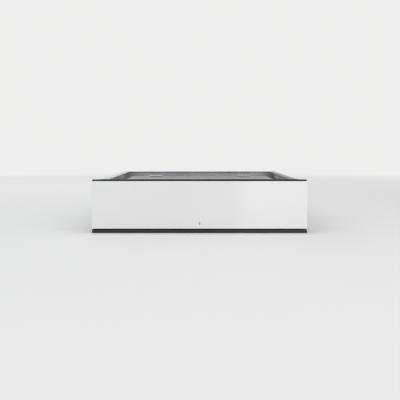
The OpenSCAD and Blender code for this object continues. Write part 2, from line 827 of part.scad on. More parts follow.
// Folded rail across the chassis that carries the deck's rear edge and the cover's front edge
module rail_across() {
    t = 1.2;
    half = 20;
    lip_h = 10;
    foot_h = 14;
    foot_w = 4;
    front = cover_front - half;
    end = chassis_in - chassis_turn;
    foot = end - foot_w;
    color(zinc) {
        difference() {
            bar_across(end, front, cover_front + half, deck_z - t, deck_z);
            for (s = bracket_screws) rod_z(screw_r + screw_fit, s[0], s[1], deck_z - 3, deck_z + 1);
        }
        bar_across(end, front, front + t, deck_z - lip_h, deck_z - t);
        both_sides() block([foot, at(front), deck_z - foot_h], [end, at(cover_front + half), deck_z - t]);
        both_sides() block([foot, at(front), deck_z - foot_h],
            [chassis_in, at(cover_front + half), deck_z - lip_h]);
    }
}

module deck() {
    tub_gap = 0.8;
    front_gap = 0.2;
    cover_gap = 0.3;
    grow = chamber_t + tub_gap;
    color(stainless) difference() {
        bar_across(chassis_x, chassis_front + front_gap, cover_front - cover_gap, deck_z, deck_top);
        translate([0, at(chamber_mid), deck_z - 1]) linear_extrude(deck_t + 2)
            polygon(rounded(chamber_w + 2 * grow, chamber_d + 2 * grow, chamber_r + grow));
        translate([0, at(touch_front + touch_d / 2), deck_z - 1]) linear_extrude(deck_t + 2)
            polygon(rounded(touch_w + 2 * rest_gap, touch_d + 2 * rest_gap, touch_r + rest_gap));
        for (s = concat(deck_screws, bracket_screws))
            rod_z(screw_r + screw_fit, s[0], s[1], deck_z - 1, deck_top + 1);
    }
}

module cover_plate() {
    slots = 14;
    slot_w = 3.5;
    slot_pitch = 7;
    slot_end = 34;
    slots_in = 133.3;
    color(stainless) difference() {
        bar_across(chassis_x, cover_front, chassis_rear, deck_z, deck_top);
        for (s = cover_screws) rod_z(screw_r + screw_fit, s[0], s[1], deck_z - 1, deck_top + 1);
        for (s = [-1, 1], i = [0:slots - 1]) {
            x = s * (chassis_in - slots_in) + slot_pitch * (i - slots / 2);
            block([x, at(cover_front + slot_end), deck_z - 1],
                [x + slot_w, at(chassis_rear - slot_end), deck_top + 1]);
        }
    }
}

// Vacuum chamber

// Deep-drawn tub: wall with draft, a rounded floor edge and a flat rim on the deck
module tub() {
    draft = tub_draft;
    fillet = tub_fillet;
    turn = 2.5;
    t = chamber_t;
    wall_at = chamber_floor + fillet;
    color(stainless) difference() {
        translate([0, at(chamber_mid), 0])
        stepped(chamber_w, chamber_d, chamber_r, concat(
            [for (a = [0:30:90]) [-draft + t - (fillet + t) * (1 - sin(a)),
                wall_at - (fillet + t) * cos(a)]],
            [[t, deck_z - 1], [t, deck_top], [rim_w, deck_top], [rim_w, rim_top]],
            [for (a = [0:30:90]) [turn * (1 - sin(a)), rim_top - turn * (1 - cos(a))]],
            [for (a = [90:-30:0]) [-draft - fillet * (1 - sin(a)), wall_at - fillet * cos(a)]]));
        for (s = [-1, 1]) rod_z(bush_r + run_fit, s * lift_x, bar_mid, chamber_under - 1,
            chamber_floor + 1);
        rod_z(hose_r + run_fit, strainer_x, strainer_d, chamber_under - 1, chamber_floor + 1);
    }
}

module gasket() {
    off_centre = 1.5;
    inner = (rim_w - gasket_w) / 2 + off_centre;
    outer = inner + gasket_w;
    h = gasket_h;
    color([0.25, 0.25, 0.26]) translate([0, at(chamber_mid), rim_top])
        stepped(chamber_w, chamber_d, chamber_r, [
            [outer, 0], [outer, 0.35 * h], [outer - 0.25 * gasket_w, 0.8 * h],
                [outer - 0.4 * gasket_w, h],
            [inner + 0.4 * gasket_w, h], [inner + 0.25 * gasket_w, 0.8 * h], [inner, 0.35 * h],
                [inner, 0]], loop = true);
}

module strainer() {
    cap_r = 20;
    cap_h = 8;
    cap_wall = 2;
    cap_top = 1.5;
    slot_w = 4;
    slot_h = 2.4;
    slot_z = 4.2;
    collar_w = 4;
    collar_t = 1.5;
    color([0.75, 0.75, 0.75]) {
        difference() {
            rod_z(cap_r, strainer_x, strainer_d, chamber_floor, chamber_floor + cap_h);
            rod_z(cap_r - cap_wall, strainer_x, strainer_d, chamber_floor - 1,
                chamber_floor + cap_h - cap_top);
            for (a = [0:30:150])
                translate([strainer_x, at(strainer_d), chamber_floor + slot_z]) rotate([0, 0, a])
                    cube([2 * cap_r + 4, slot_w, slot_h], center = true);
        }
        rod_z(hose_r, strainer_x, strainer_d, elbow_z - hose_r, chamber_floor);
        rod_x(barb_r, strainer_x, strainer_x + elbow_l, strainer_d, elbow_z);
        translate([strainer_x, at(strainer_d), chamber_floor]) difference() {
            cylinder(r = hose_r + collar_w, h = collar_t);
            translate([0, 0, -1]) cylinder(r = hose_r - 2, h = collar_t + 2);
        }
    }
}

module bushes() {
    color([0.93, 0.93, 0.9])
    for (s = [-1, 1]) difference() {
        union() {
            rod_z(bush_r, s * lift_x, bar_mid, chamber_under - bush_drop, chamber_floor + bush_rise);
            rod_z(bush_flange_r, s * lift_x, bar_mid, chamber_floor, chamber_floor + bush_flange_t);
        }
        rod_z(lift_pin_r + run_fit, s * lift_x, bar_mid, chamber_under - bush_drop - 1,
            chamber_floor + bush_rise + 1);
    }
}

module cylinders() {
    color([0.3, 0.32, 0.35])
    for (s = [-1, 1]) difference() {
        union() {
            rod_z(lift_r, s * lift_x, bar_mid, lift_z, chamber_under);
            rod_x(air_hose_r, s * lift_x - lift_r - barb_l, s * lift_x + lift_r + barb_l, bar_mid,
                air_port_z);
        }
        rod_z(lift_bore, s * lift_x, bar_mid, lift_z + lift_wall, chamber_under - bush_drop);
        rod_z(bush_r + run_fit, s * lift_x, bar_mid, chamber_under - bush_drop - 1, chamber_under + 1);
    }
}

// Seal bar and its lift

module bar() {
    half = bar_d / 2;
    slope_h = 3;
    slope_w = 2;
    color([0.72, 0.73, 0.74])
    translate([0, at(bar_mid), bar_z]) difference() {
        rotate([90, 0, 90]) translate([0, 0, -bar_w / 2]) linear_extrude(bar_w)
            polygon([[-half, 0], [half, 0], [half, bar_h - slope_h], [half - slope_w, bar_h],
                [slope_w - half, bar_h], [-half, bar_h - slope_h]]);
        for (s = [-1, 1]) translate([s * lift_x, 0, -1])
            cylinder(r = lift_pin_r - neck_step + run_fit, h = neck_h + neck_room + 1);
    }
}

module heater() {
    end_in = 5;
    half = 3.5;
    color([0.55, 0.42, 0.28])
    bar_across(bar_w / 2 - end_in, bar_mid - half, bar_mid + half, bar_top, heater_top);
}

module pins() {
    color([0.80, 0.68, 0.38])
    for (s = [-1, 1]) {
        rod_z(lift_pin_r, s * lift_x, bar_mid, lift_z + lift_wall + rest_gap, bar_z);
        rod_z(lift_pin_r - neck_step, s * lift_x, bar_mid, bar_z - 1, bar_z + neck_h);
        rod_z(piston_r, s * lift_x, bar_mid, lift_z + lift_wall + rest_gap,
            lift_z + lift_wall + rest_gap + piston_t);
    }
}

// Control strip

module touch_glass() {
    color(black) translate([0, at(touch_front + touch_d / 2), deck_top + touch_proud - touch_t])
        glass_sheet(touch_w, touch_d, touch_r, touch_t);
}

module touch_tray() {
    ledge = deck_top + touch_proud - touch_t;
    mid = at(touch_front + touch_d / 2);
    rim = 6;
    seat = 3;
    post_r = 3;
    post_in = 20;
    color([0.15, 0.15, 0.16]) {
        difference() {
            translate([0, mid, deck_z - tray_h]) linear_extrude(tray_h)
                polygon(rounded(touch_w + 2 * rim, touch_d + 2 * rim, touch_r + 2));
            translate([0, mid, ledge]) linear_extrude(tray_h)
                polygon(rounded(touch_w + 2 * rest_gap, touch_d + 2 * rest_gap, touch_r + rest_gap));
            translate([0, mid, deck_z - tray_h + tray_wall]) linear_extrude(tray_h)
                polygon(rounded(touch_w - 2 * seat, touch_d - 2 * seat, touch_r));
        }
        for (x = [-touch_w / 2 + post_in, 0, touch_w / 2 - post_in])
            translate([x, mid, deck_z - tray_h + tray_wall]) cylinder(r = post_r, h = post_h);
    }
}

module touch_board() {
    edge_in = 7;
    color([0.05, 0.32, 0.16])
    translate([edge_in - touch_w / 2, at(touch_front + edge_in), deck_z - tray_h + tray_wall + post_h])
        cube([touch_w - 2 * edge_in, touch_d - 2 * edge_in, board_t]);
}

// Lid

module lid_sheet() {
    color([0.10, 0.11, 0.12, 0.6]) difference() {
        translate([0, at(lid_front + lid_d / 2), lid_z]) glass_sheet(lid_w, lid_d, lid_r, lid_t);
        for (b = lid_bolts) rod_z(lid_bolt_r + glass_hole_gap, b[0], b[1], lid_z - 1, lid_top + 1);
    }
}

module holder() {
    color([0.2, 0.2, 0.21]) difference() {
        bar_across(bar_w / 2 + strip_past + holder_end, bar_mid - holder_d / 2, bar_mid + holder_d / 2,
            lid_z - holder_h, lid_z);
        bar_across(bar_w / 2 + strip_past, bar_mid - strip_d / 2, bar_mid + strip_d / 2,
            lid_z - holder_h - 1, lid_z - strip_seat);
    }
}

module strip() {
    color([0.88, 0.88, 0.86]) bar_across(bar_w / 2 + strip_past, bar_mid - strip_d / 2,
        bar_mid + strip_d / 2, strip_bottom, lid_z - strip_seat);
}

knuckle_w = 14;
knuckle_r = 5.2;
ear_gap = 40;
ear_t = 4;

// Hinge arm: a plate clamped on the glass that runs back to a knuckle on the pin
module arms() {
    plate_half = 20;
    plate_front = lid_rear - 30;
    plate_rear = lid_rear - 2;
    neck_from = lid_rear - 4;
    rib_from = lid_rear + 3;
    half = knuckle_w / 2;
    color(steel)
    for (s = [-1, 1]) translate([s * hinge_x, 0, 0]) {
        difference() {
            union() {
                bar_across(plate_half, plate_front, plate_rear, lid_top, lid_top + arm_t);
                bar_across(half, neck_from, pivot_d, lid_top, lid_top + arm_t);
                bar_across(half, rib_from, pivot_d, pivot_z, lid_top + arm_t);
                rod_x(knuckle_r, -half, half, pivot_d, pivot_z);
            }
            rod_x(hinge_pin_r + run_fit, -knuckle_w, knuckle_w, pivot_d, pivot_z);
            for (t = [-1, 1]) rod_z(lid_bolt_r + screw_fit, t * bolt_half, bolt_d, lid_top - 1,
                lid_top + arm_t + 1);
        }
    }
}

// Bolts that clamp the arms on the glass, each with its washer under the lid
module lid_fasteners() {
    washer_r = 6;
    color(steel)
    for (b = lid_bolts) {
        translate([b[0], at(b[1]), lid_top + arm_t]) cylinder(r1 = 4.6, r2 = 3.2, h = dome_h);
        rod_z(lid_bolt_r, b[0], b[1], lid_z - washer_t, lid_top + arm_t + dome_h / 2);
        rod_z(washer_r, b[0], b[1], lid_z - washer_t, lid_z);
    }
}

module hinge_brackets() {
    foot_ahead = 9;
    foot_behind = 11;
    ear_half = 5;
    ear_above = 5;
    ear_x = (ear_gap + ear_t) / 2;
    color(steel)
    for (s = [-1, 1]) difference() {
        translate([s * hinge_x, 0, 0]) {
            bar_across(bracket_half, pivot_d - foot_ahead, pivot_d + foot_behind, deck_top,
                deck_top + bracket_t);
            for (t = [-1, 1])
                block([t * ear_x - ear_t / 2, at(pivot_d - ear_half), deck_top],
                    [t * ear_x + ear_t / 2, at(pivot_d + ear_half), pivot_z + ear_above]);
        }
        rod_x(hinge_pin_r + run_fit, s * hinge_x - ear_gap, s * hinge_x + ear_gap, pivot_d, pivot_z);
        for (b = bracket_screws)
            rod_z(screw_r + screw_fit, b[0], b[1], deck_top - 1, deck_top + bracket_t + 1);
    }
}

module hinge_rods() {
    end = ear_gap / 2 + ear_t;
    head_t = 1.5;
    head_w = 1.2;
    head_gap = 0.25;
    color([0.85, 0.85, 0.86])
    for (s = [-1, 1]) translate([s * hinge_x, 0, 0]) {
        rod_x(hinge_pin_r, -end - 0.5, end + 0.5, pivot_d, pivot_z);
        both_sides() rod_x(hinge_pin_r + head_w, end + head_gap, end + head_gap + head_t, pivot_d,
            pivot_z);
    }
}

// Counterbalance springs, wound on the pins between the knuckle and the ears
spring_wire = 0.8;
spring_coils = 5;
spring_r = hinge_pin_r + rest_gap + spring_wire;
spring_room = (ear_gap - knuckle_w) / 2 - 2 * spring_wire - 1;
spring_leg = pivot_z - deck_top - bracket_t - rest_gap;
// The wire's centre line: a straight leg that stands on the bracket, then the curls
function spring_path(x0, way) = concat(
    [[x0, at(pivot_d) + spring_r, pivot_z - spring_leg],
        [x0, at(pivot_d) + spring_r, pivot_z - spring_leg / 2]],
    [for (i = [0:8 * spring_coils])
        [x0 + way * spring_room * i / (8 * spring_coils), at(pivot_d) + spring_r * cos(45 * i),
            pivot_z + spring_r * sin(45 * i)]]);
function least_gap(path, apart, r) = min([for (i = [0:len(path) - 1], j = [0:len(path) - 1])
    if (j - i >= apart) norm(path[i] - path[j])]) - 2 * r;
echo(spring_least_gap = least_gap(spring_path(0, 1), 5, spring_wire));

module springs() {
    color([0.45, 0.46, 0.48])
    for (s = [-1, 1], t = [-1, 1])
        translate([s * hinge_x, 0, 0])
            tube_along(spring_path(t * (ear_gap / 2 - 0.5 - spring_wire), -t), spring_wire, 6,
                [1, 0.3, 0.2]);
}

// Pump unit

module cradle() {
    window_l = 40;
    window_half = 18;
    first = 20;
    color(zinc) difference() {
        block([motor_x0 - cradle_past, at(pump_d - cradle_d / 2), cradle_z],
            [motor_x0 - cradle_past + cradle_l, at(pump_d + cradle_d / 2), cradle_z + cradle_t]);
        for (x = [motor_x0 + first, (motor_x0 + pump_x1) / 2])
            block([x, at(pump_d - window_half), cradle_z - 1],
                [x + window_l, at(pump_d + window_half), cradle_z + cradle_t + 1]);
    }
}

module mounts() {
    edge_in = 10;
    half_span = cradle_d / 2 - edge_in;
    color([0.08, 0.08, 0.08])
    for (x = [motor_x0 - cradle_past + edge_in, pump_x1 + edge_in],
        d = [pump_d - half_span, pump_d + half_span])
        rod_z(mount_r, x, d, floor_top, cradle_z);
}

module motor() {
    wall = 4;
    foot_w = 12;
    foot_half = 26;
    foot_in = 8;
    groove_w = 4;
    groove_pitch = 11;
    groove_depth = 1.8;
    first_groove = 14;
    color([0.5, 0.52, 0.54]) difference() {
        union() {
            rod_x(motor_r, motor_x0, motor_x1, pump_d, motor_z);
            for (x = [motor_x0 + foot_in, motor_x1 - foot_in - foot_w])
                block([x, at(pump_d - foot_half), cradle_z + cradle_t],
                    [x + foot_w, at(pump_d + foot_half), motor_z - 20]);
        }
        rod_x(motor_r - wall, motor_x0 + wall, motor_x1 - wall, pump_d, motor_z);
        rod_x(shaft_r + run_fit, motor_x0 + 1.5, motor_x1 + 1, pump_d, motor_z);
        for (i = [0:8]) {
            x = motor_x0 + first_groove + groove_pitch * i;
            difference() {
                rod_x(motor_r + 1, x, x + groove_w, pump_d, motor_z);
                rod_x(motor_r - groove_depth, motor_x0, motor_x1, pump_d, motor_z);
            }
        }
    }
}

module pump_body() {
    foot_in = 6;
    foot_half = 30;
    fin_pitch = 10;
    fin_gap = 4;
    fin_depth = 4;
    port_clear = 8;
    color([0.42, 0.44, 0.46]) {
        difference() {
            union() {
                block([motor_x1, at(pump_d - pump_half), motor_z - pump_half],
                    [pump_x1, at(pump_d + pump_half), motor_z + pump_half]);
                rod_y(barb_r, port_x, pump_d - pump_half - barb_l, pump_d, port_z);
                block([motor_x1 + foot_in, at(pump_d - foot_half), cradle_z + cradle_t],
                    [pump_x1 - foot_in, at(pump_d + foot_half), motor_z - 30]);
            }
            rod_x(bore_r, motor_x1 + pump_end_wall, pump_x1 + 1, pump_d, motor_z + bore_shift);
            rod_x(shaft_r + run_fit, motor_x1 - 1, pump_x1, pump_d, motor_z);
            for (z = [for (i = [-3:3]) motor_z + fin_pitch * i])
                if (abs(z - port_z) > port_clear)
                for (s = [-1, 1])
                    block([motor_x1 + 4, at(pump_d + s * pump_half - fin_depth), z - fin_gap / 2],
                        [pump_x1 + 1, at(pump_d + s * pump_half + fin_depth), z + fin_gap / 2]);
        }
        difference() {
            block([pump_x1, at(pump_d - pump_half), motor_z - pump_half],
                [pump_x1 + pump_cover_t, at(pump_d + pump_half), motor_z + pump_half]);
            rod_x(shaft_r + run_fit, pump_x1 - 1, pump_x1 + pump_cover_t - cover_skin, pump_d, motor_z);
        }
    }
}

module shaft_and_rotor() {
    armature_gap = 14;
    armature_in = 30;
    color(steel) difference() {
        union() {
            rod_x(shaft_r, motor_x0 + 2, pump_x1 + pump_cover_t - cover_skin - shaft_end_gap, pump_d,
                motor_z);
            rod_x(motor_r - armature_gap, motor_x0 + armature_in, motor_x1 - armature_in, pump_d, motor_z);
            rod_x(rotor_r, motor_x1 + pump_end_wall + rotor_gap, pump_x1 - rotor_gap, pump_d, motor_z);
        }
        for (a = [0:90:270])
            translate([0, at(pump_d), motor_z]) rotate([a, 0, 0])
                translate([motor_x1 + 2, -vane_t / 2 - run_fit, shaft_r + vane_slot_floor])
                    cube([pump_l, vane_t + 2 * run_fit, rotor_r]);
    }
}

module vanes() {
    end_gap = 0.4;
    floor_gap = 0.2;
    color([0.2, 0.2, 0.2])
    for (a = [0:90:270])
        translate([0, at(pump_d), motor_z]) rotate([a, 0, 0])
            translate([motor_x1 + pump_end_wall + end_gap, -vane_t / 2,
                shaft_r + vane_slot_floor + floor_gap])
                cube([pump_l - pump_end_wall - 2 * end_gap, vane_t,
                    rotor_r - shaft_r - vane_slot_floor]);
}

// Cooling fan on the chassis's rear wall

module fan_case() {
    front = chassis_rear - chassis_t - fan_d;
    bore_in = 2.5;
    strut_d = 3;
    strut_w = 4;
    color([0.09, 0.09, 0.1]) {
        difference() {
            block([fan_x - fan_w / 2, at(front), fan_z - fan_w / 2],
                [fan_x + fan_w / 2, at(front + fan_d), fan_z + fan_w / 2]);
            rod_y(fan_w / 2 - bore_in, fan_x, front - 1, front + fan_d + 1, fan_z);
            for (s = fan_screws) rod_y(screw_r + screw_fit, s[0], front - 1, front + fan_d + 1, s[1]);
        }
        for (a = [0:90:270])
            translate([fan_x, at(front + fan_d - strut_d / 2), fan_z]) rotate([0, a + 45, 0])
                translate([fan_w / 4 + 2, 0, 0]) cube([fan_open_r, strut_d, strut_w], center = true);
        rod_y(hub_r, fan_x, front + fan_d - strut_d, front + fan_d, fan_z);
        rod_y(axle_r, fan_x, front + axle_in, front + fan_d, fan_z);
    }
}

module fan_wheel() {
    front = chassis_rear - chassis_t - fan_d;
    blades = 7;
    blade_t = 1.8;
    blade_w = 24;
    blade_pitch = 38;
    color([0.12, 0.12, 0.13]) difference() {
        union() {
            rod_y(hub_r, fan_x, front + 2, front + fan_d - 4, fan_z);
            intersection() {
                rod_y(fan_open_r, fan_x, front + 3, front + fan_d - 5, fan_z);
                for (i = [0:blades - 1])
                    translate([fan_x, at(front + 11.5), fan_z]) rotate([0, 360 * i / blades, 0])
                        translate([fan_w / 4 + 4, 0, 0]) rotate([blade_pitch, 0, 0])
                            cube([fan_w / 2, blade_t, blade_w], center = true);
            }
        }
        rod_y(axle_r + run_fit, fan_x, front + axle_in - shaft_end_gap, front + fan_d, fan_z);
    }
}

// Electronics and valves

module transformer() {
    mid = [toroid_x, at(toroid_d), floor_top];
    inner_turn = 4;
    outer_turn = 5;
    washer_r = 26;
    washer_t = 2;
    color([0.78, 0.62, 0.25]) translate(mid) rotate_extrude()
        polygon([[toroid_hole, inner_turn], [toroid_hole + inner_turn, 0], [toroid_r - outer_turn, 0],
            [toroid_r, outer_turn], [toroid_r, toroid_h - outer_turn], [toroid_r - outer_turn, toroid_h],
            [toroid_hole + inner_turn, toroid_h], [toroid_hole, toroid_h - inner_turn]]);
    color(steel) translate(mid) {
        translate([0, 0, toroid_h]) cylinder(r = washer_r, h = washer_t);
        cylinder(r = 4, h = toroid_h);
        translate([0, 0, toroid_h + washer_t]) cylinder(r = 7, h = 4, $fn = 6);
    }
}

// Power board on four standoffs. Each part on it is [x, y, width, length, height], laid out for a board
// of the size drawn_for and spread with the real one.
module board() {
    lo = [board_lo[0], at(board_lo[1]), board_z];
    corner = 6;
    standoff_r = 3;
    drawn_for = [60, 220];
    u = [board_w / drawn_for[0], board_l / drawn_for[1], 1];
    parts = [[6, 12, 26, 28, 22], [38, 14, 14, 30, 18], [8, 60, 22, 26, 30], [38, 58, 16, 20, 14],
        [6, 104, 30, 18, 12], [42, 96, 12, 36, 26], [8, 150, 18, 40, 16], [34, 160, 20, 44, 24]];
    color([0.05, 0.30, 0.16]) translate(lo) cube([board_w, board_l, board_t]);
    color([0.15, 0.16, 0.2]) for (p = parts)
        translate(lo + [p[0] * u[0], p[1] * u[1], board_t]) cube([p[2] * u[0], p[3] * u[1], p[4]]);
    color(steel) for (x = [corner, board_w - corner], y = [corner, board_l - corner])
        translate([lo[0] + x, lo[1] + y, floor_top]) cylinder(r = standoff_r, h = standoff_h);
}

module valves() {
    lo = [valve_lo[0], valve_lo[1]];
    color([0.68, 0.69, 0.7]) {
        block([lo[0], at(lo[1]), floor_top],
            [lo[0] + valve_w, at(lo[1] + valve_d), floor_top + valve_h]);
        rod_x(barb_r, lo[0] - barb_l, lo[0], strainer_d, elbow_z);
        rod_y(barb_r, lo[0] + valve_w - valve_port_in, lo[1] + valve_d, lo[1] + valve_d + barb_l,
            valve_out_z);
        rod_y(air_hose_r - 0.5, lo[0] + valve_port_in, lo[1] - barb_l, lo[1], valve_air_z);
    }
}

module coils() {
    coil_r = 8;
    coil_h = 32;
    first = 10;
    pitch = 18;
    plug = 12;
    plug_h = 14;
    mid = valve_lo[1] + valve_d / 2;
    z = floor_top + valve_h;
    color([0.1, 0.1, 0.11])
    for (i = [0:2]) {
        x = valve_lo[0] + first + pitch * i;
        rod_z(coil_r, x, mid, z, z + coil_h);
        translate([x - plug / 2, at(mid + 5), z + 8]) cube([plug, plug, plug_h]);
    }
}

module hoses() {
    v = valve_lo;
    out_x = v[0] + valve_w - valve_port_in;
    air_x = v[0] + valve_port_in;
    air_r = air_hose_r + 0.5;
    port_end = lift_r + barb_l;
    color([0.75, 0.78, 0.76]) {
        flex([[strainer_x + elbow_l, strainer_d, elbow_z],
            [strainer_x + elbow_l + 12, strainer_d, elbow_z],
            [v[0] - barb_l - 12, strainer_d, elbow_z], [v[0] - barb_l, strainer_d, elbow_z]], hose_r,
                rings = 4);
        flex([[out_x, v[1] + valve_d + barb_l, valve_out_z],
            [out_x, v[1] + valve_d + 50, valve_out_z], [port_x, chamber_rear + 20, port_z],
            [port_x, pump_d - pump_half - barb_l, port_z]], hose_r, rings = 24);
        flex([[air_x, v[1] - barb_l, valve_air_z], [air_x, v[1] - 100, valve_air_z],
            [lift_x + lift_r + 60, bar_mid, air_port_z], [lift_x + port_end, bar_mid, air_port_z]],
                air_r, rings = 24);
        flex([[lift_x - port_end, bar_mid, air_port_z], [40, bar_mid, air_port_z],
            [-40, bar_mid, air_port_z], [port_end - lift_x, bar_mid, air_port_z]], air_r, rings = 6);
    }
}

module leads() {
    b = board_lo;
    left = b[0] + board_w / 2;
    right = b[0] + board_w;
    rear = b[1] + board_l;
    low = board_z + board_t / 2;
    touch_mid = touch_front + touch_d / 2;
    touch_low = deck_z - tray_h - rest_gap;
    touch_x = left + 46;
    inlet_d = chassis_rear - inlet_l - rest_gap;
    mains_x = left - 14;
    motor_low = motor_z - 30;
    motor_d = pump_d - 20;
    plug_d = b[1] + 140;
    plug_reach = 60;
    valve_end = [valve_lo[0], valve_lo[1] + 8, floor_top + 4];
    tap_d = toroid_d - toroid_r - 1.4;
    tap_z = floor_top + 24;
    lift_end_z = lift_z + 6;
    color([0.12, 0.12, 0.13]) {
        flex([[inlet_x, inlet_d, inlet_z], [inlet_x, inlet_d - 40, inlet_z],
            [mains_x, rear + 70, low], [mains_x, rear + rest_gap, low]], 3, rings = 24);
        flex([[right - 8, rear + rest_gap, low], [right - 8, rear + 40, low],
            [(toroid_x + toroid_r + motor_x0) / 2, motor_d, motor_low],
            [motor_x0 - rest_gap, motor_d, motor_low]], 3);
        flex([[left, b[1] - rest_gap, low], [left, b[1] - 40, low],
            [touch_x, touch_mid, touch_low - 42], [touch_x, touch_mid, touch_low]], 2, [1, 0, 0]);
        flex([[right + rest_gap, plug_d, low], [right + plug_reach, plug_d, low],
            valve_end - [plug_reach, 0, 0], valve_end - [rest_gap, 0, 0]], 2, rings = 24);
    }
    color([0.62, 0.12, 0.1])
    for (s = [-1, 1])
        flex([[toroid_x + 7 + 7 * s, tap_d, tap_z],
            [toroid_x + 7 + 7 * s, toroid_d - toroid_r - 60, tap_z],
            [s * lift_x, bar_mid + 120, lift_end_z],
            [s * lift_x, bar_mid + lift_r + rest_gap, lift_end_z]], 2.5, rings = 24);
}

// Appliance inlet with three blades, snapped into the chassis's rear wall
module inlet() {
    body = inlet_half - [0.2, 0.2];
    flange = [18, 14];
    flange_t = 1.8;
    socket = [12, 8.2];
    socket_l = 17;
    blade = [1, 2];
    color(black) difference() {
        union() {
            block([inlet_x - body[0], at(chassis_rear - inlet_l), inlet_z - body[1]],
                [inlet_x + body[0], at(chassis_rear), inlet_z + body[1]]);
            block([inlet_x - flange[0], at(chassis_rear), inlet_z - flange[1]],
                [inlet_x + flange[0], at(chassis_rear + flange_t), inlet_z + flange[1]]);
        }
        block([inlet_x - socket[0], at(chassis_rear - socket_l), inlet_z - socket[1]],
            [inlet_x + socket[0], at(chassis_rear + 3), inlet_z + socket[1]]);
    }
    color([0.8, 0.8, 0.78])
    for (p = [[-7, -2], [7, -2], [0, 2]])
        block([inlet_x + p[0] - blade[0], at(chassis_rear - socket_l), inlet_z + p[1] - blade[1]],
            [inlet_x + p[0] + blade[0], at(chassis_rear - 2), inlet_z + p[1] + blade[1]]);
}

module drawer_fasteners() {
    color(steel) {
        for (s = concat(deck_screws, cover_screws)) translate([s[0], at(s[1]), deck_top])
            pan_screw(deck_t + chassis_t + 3);
        for (s = bracket_screws) translate([s[0], at(s[1]), deck_top + bracket_t])
            pan_screw(bracket_t + deck_t + 4);
        for (s = fan_screws) translate([s[0], at(chassis_rear), s[1]]) rotate([-90, 0, 0])
            pan_screw(10);
        both_sides() for (d = runner_rivets)
            translate([chassis_x + middle_t, at(d), runner_z]) rotate([0, 90, 0])
                rivet(middle_t + chassis_t, 0.8);
    }
}

pads();  // base_pads
base_sheet();  // base_pan
mirror([1, 0, 0]) housing_side();  // side_wall_left
housing_side();  // side_wall_right
rear_sheet();  // rear_wall
frame_sheet();  // front_frame
trim_channel();  // bottom_trim
buffers();  // front_buffers
runner_member(-1, -1, race_t + 0.3) outer_section();  // runner_outer_left
runner_member(1, -1, race_t + 0.3) outer_section();  // runner_outer_right
latch_case();  // latch_body
housing_fasteners();
plunger();  // latch_plunger
runner_member(-1) middle_section();  // runner_middle_left
runner_member(1) middle_section();  // runner_middle_right
both_sides()  // ball_cages_outer
    cage(row_1, outer_cage_x, row_1_x, ball_r);
both_sides()  // ball_cages_inner
    cage(row_2, inner_cage_x, row_2_x, inner_ball_r);
front_sheet();  // front_glass
carrier();  // front_carrier
chassis();  // drawer_chassis
rail_across();  // cross_rail
runner_member(-1, runner_t - middle_t - 0.3, runner_t + 1) inner_section();  // runner_inner_left
runner_member(1, runner_t - middle_t - 0.3, runner_t + 1) inner_section();  // runner_inner_right
deck();  // deck_plate
cover_plate();  // service_cover
tub();  // vacuum_chamber
gasket();  // lid_gasket
strainer();  // suction_strainer
bushes();  // pin_bushes
cylinders();  // lift_cylinders
touch_glass();  // control_glass
touch_tray();  // control_tray
touch_board();  // control_board
transformer();  // seal_transformer
board();  // power_board
valves();  // valve_block
coils();  // valve_coils
cradle();  // pump_cradle
mounts();  // pump_mounts
motor();  // motor_shell
pump_body();  // pump_housing
fan_case();  // fan_frame
hoses();  // vacuum_hoses
leads();  // wire_leads
inlet();  // mains_inlet
hinge_brackets();  // hinge_bases
hinge_rods();  // hinge_pins
springs();  // hinge_springs
drawer_fasteners();
shaft_and_rotor();  // rotor_shaft
vanes();  // pump_vanes
fan_wheel();  // fan_impeller
lid_sheet();  // lid_glass
arms();  // hinge_arms
lid_fasteners();  // lid_bolts
holder();  // counter_holder
strip();  // counter_strip
bar();  // seal_bar
heater();  // heating_strip
pins();  // lift_pins
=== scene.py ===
"""Looks, detail pieces, light and camera for the vacuum sealing drawer."""
import math

import bmesh
import bpy
from mathutils import Matrix, Vector


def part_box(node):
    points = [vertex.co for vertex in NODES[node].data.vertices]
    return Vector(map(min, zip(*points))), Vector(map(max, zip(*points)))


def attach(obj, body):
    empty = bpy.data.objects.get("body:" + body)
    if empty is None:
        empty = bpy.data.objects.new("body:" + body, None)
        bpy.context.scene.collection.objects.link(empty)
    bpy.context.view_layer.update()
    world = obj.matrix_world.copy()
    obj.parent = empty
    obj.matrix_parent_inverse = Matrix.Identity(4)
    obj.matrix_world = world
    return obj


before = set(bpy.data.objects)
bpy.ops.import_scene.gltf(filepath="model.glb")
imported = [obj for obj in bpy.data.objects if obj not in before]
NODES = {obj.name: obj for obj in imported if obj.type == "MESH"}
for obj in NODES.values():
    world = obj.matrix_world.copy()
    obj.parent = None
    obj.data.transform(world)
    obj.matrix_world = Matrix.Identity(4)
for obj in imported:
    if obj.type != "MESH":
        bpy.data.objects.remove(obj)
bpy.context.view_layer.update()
scene = bpy.context.scene
MM = 0.001

# The corners of the two glass sheets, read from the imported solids
GLASS_LO, GLASS_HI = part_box("front_glass")
LID_LO, LID_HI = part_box("lid_glass")
FACE_Y = GLASS_LO.y

# The photograph's frame in pixels, and where the glass front lies in it
IMAGE_PX = 400
GLASS_WIDTH_PX = 215.85
GLASS_CENTRE_PX = (199.53, 205.07)
LENS_MM = 50
SENSOR_MM = 36
PITCH = math.radians(5.5)


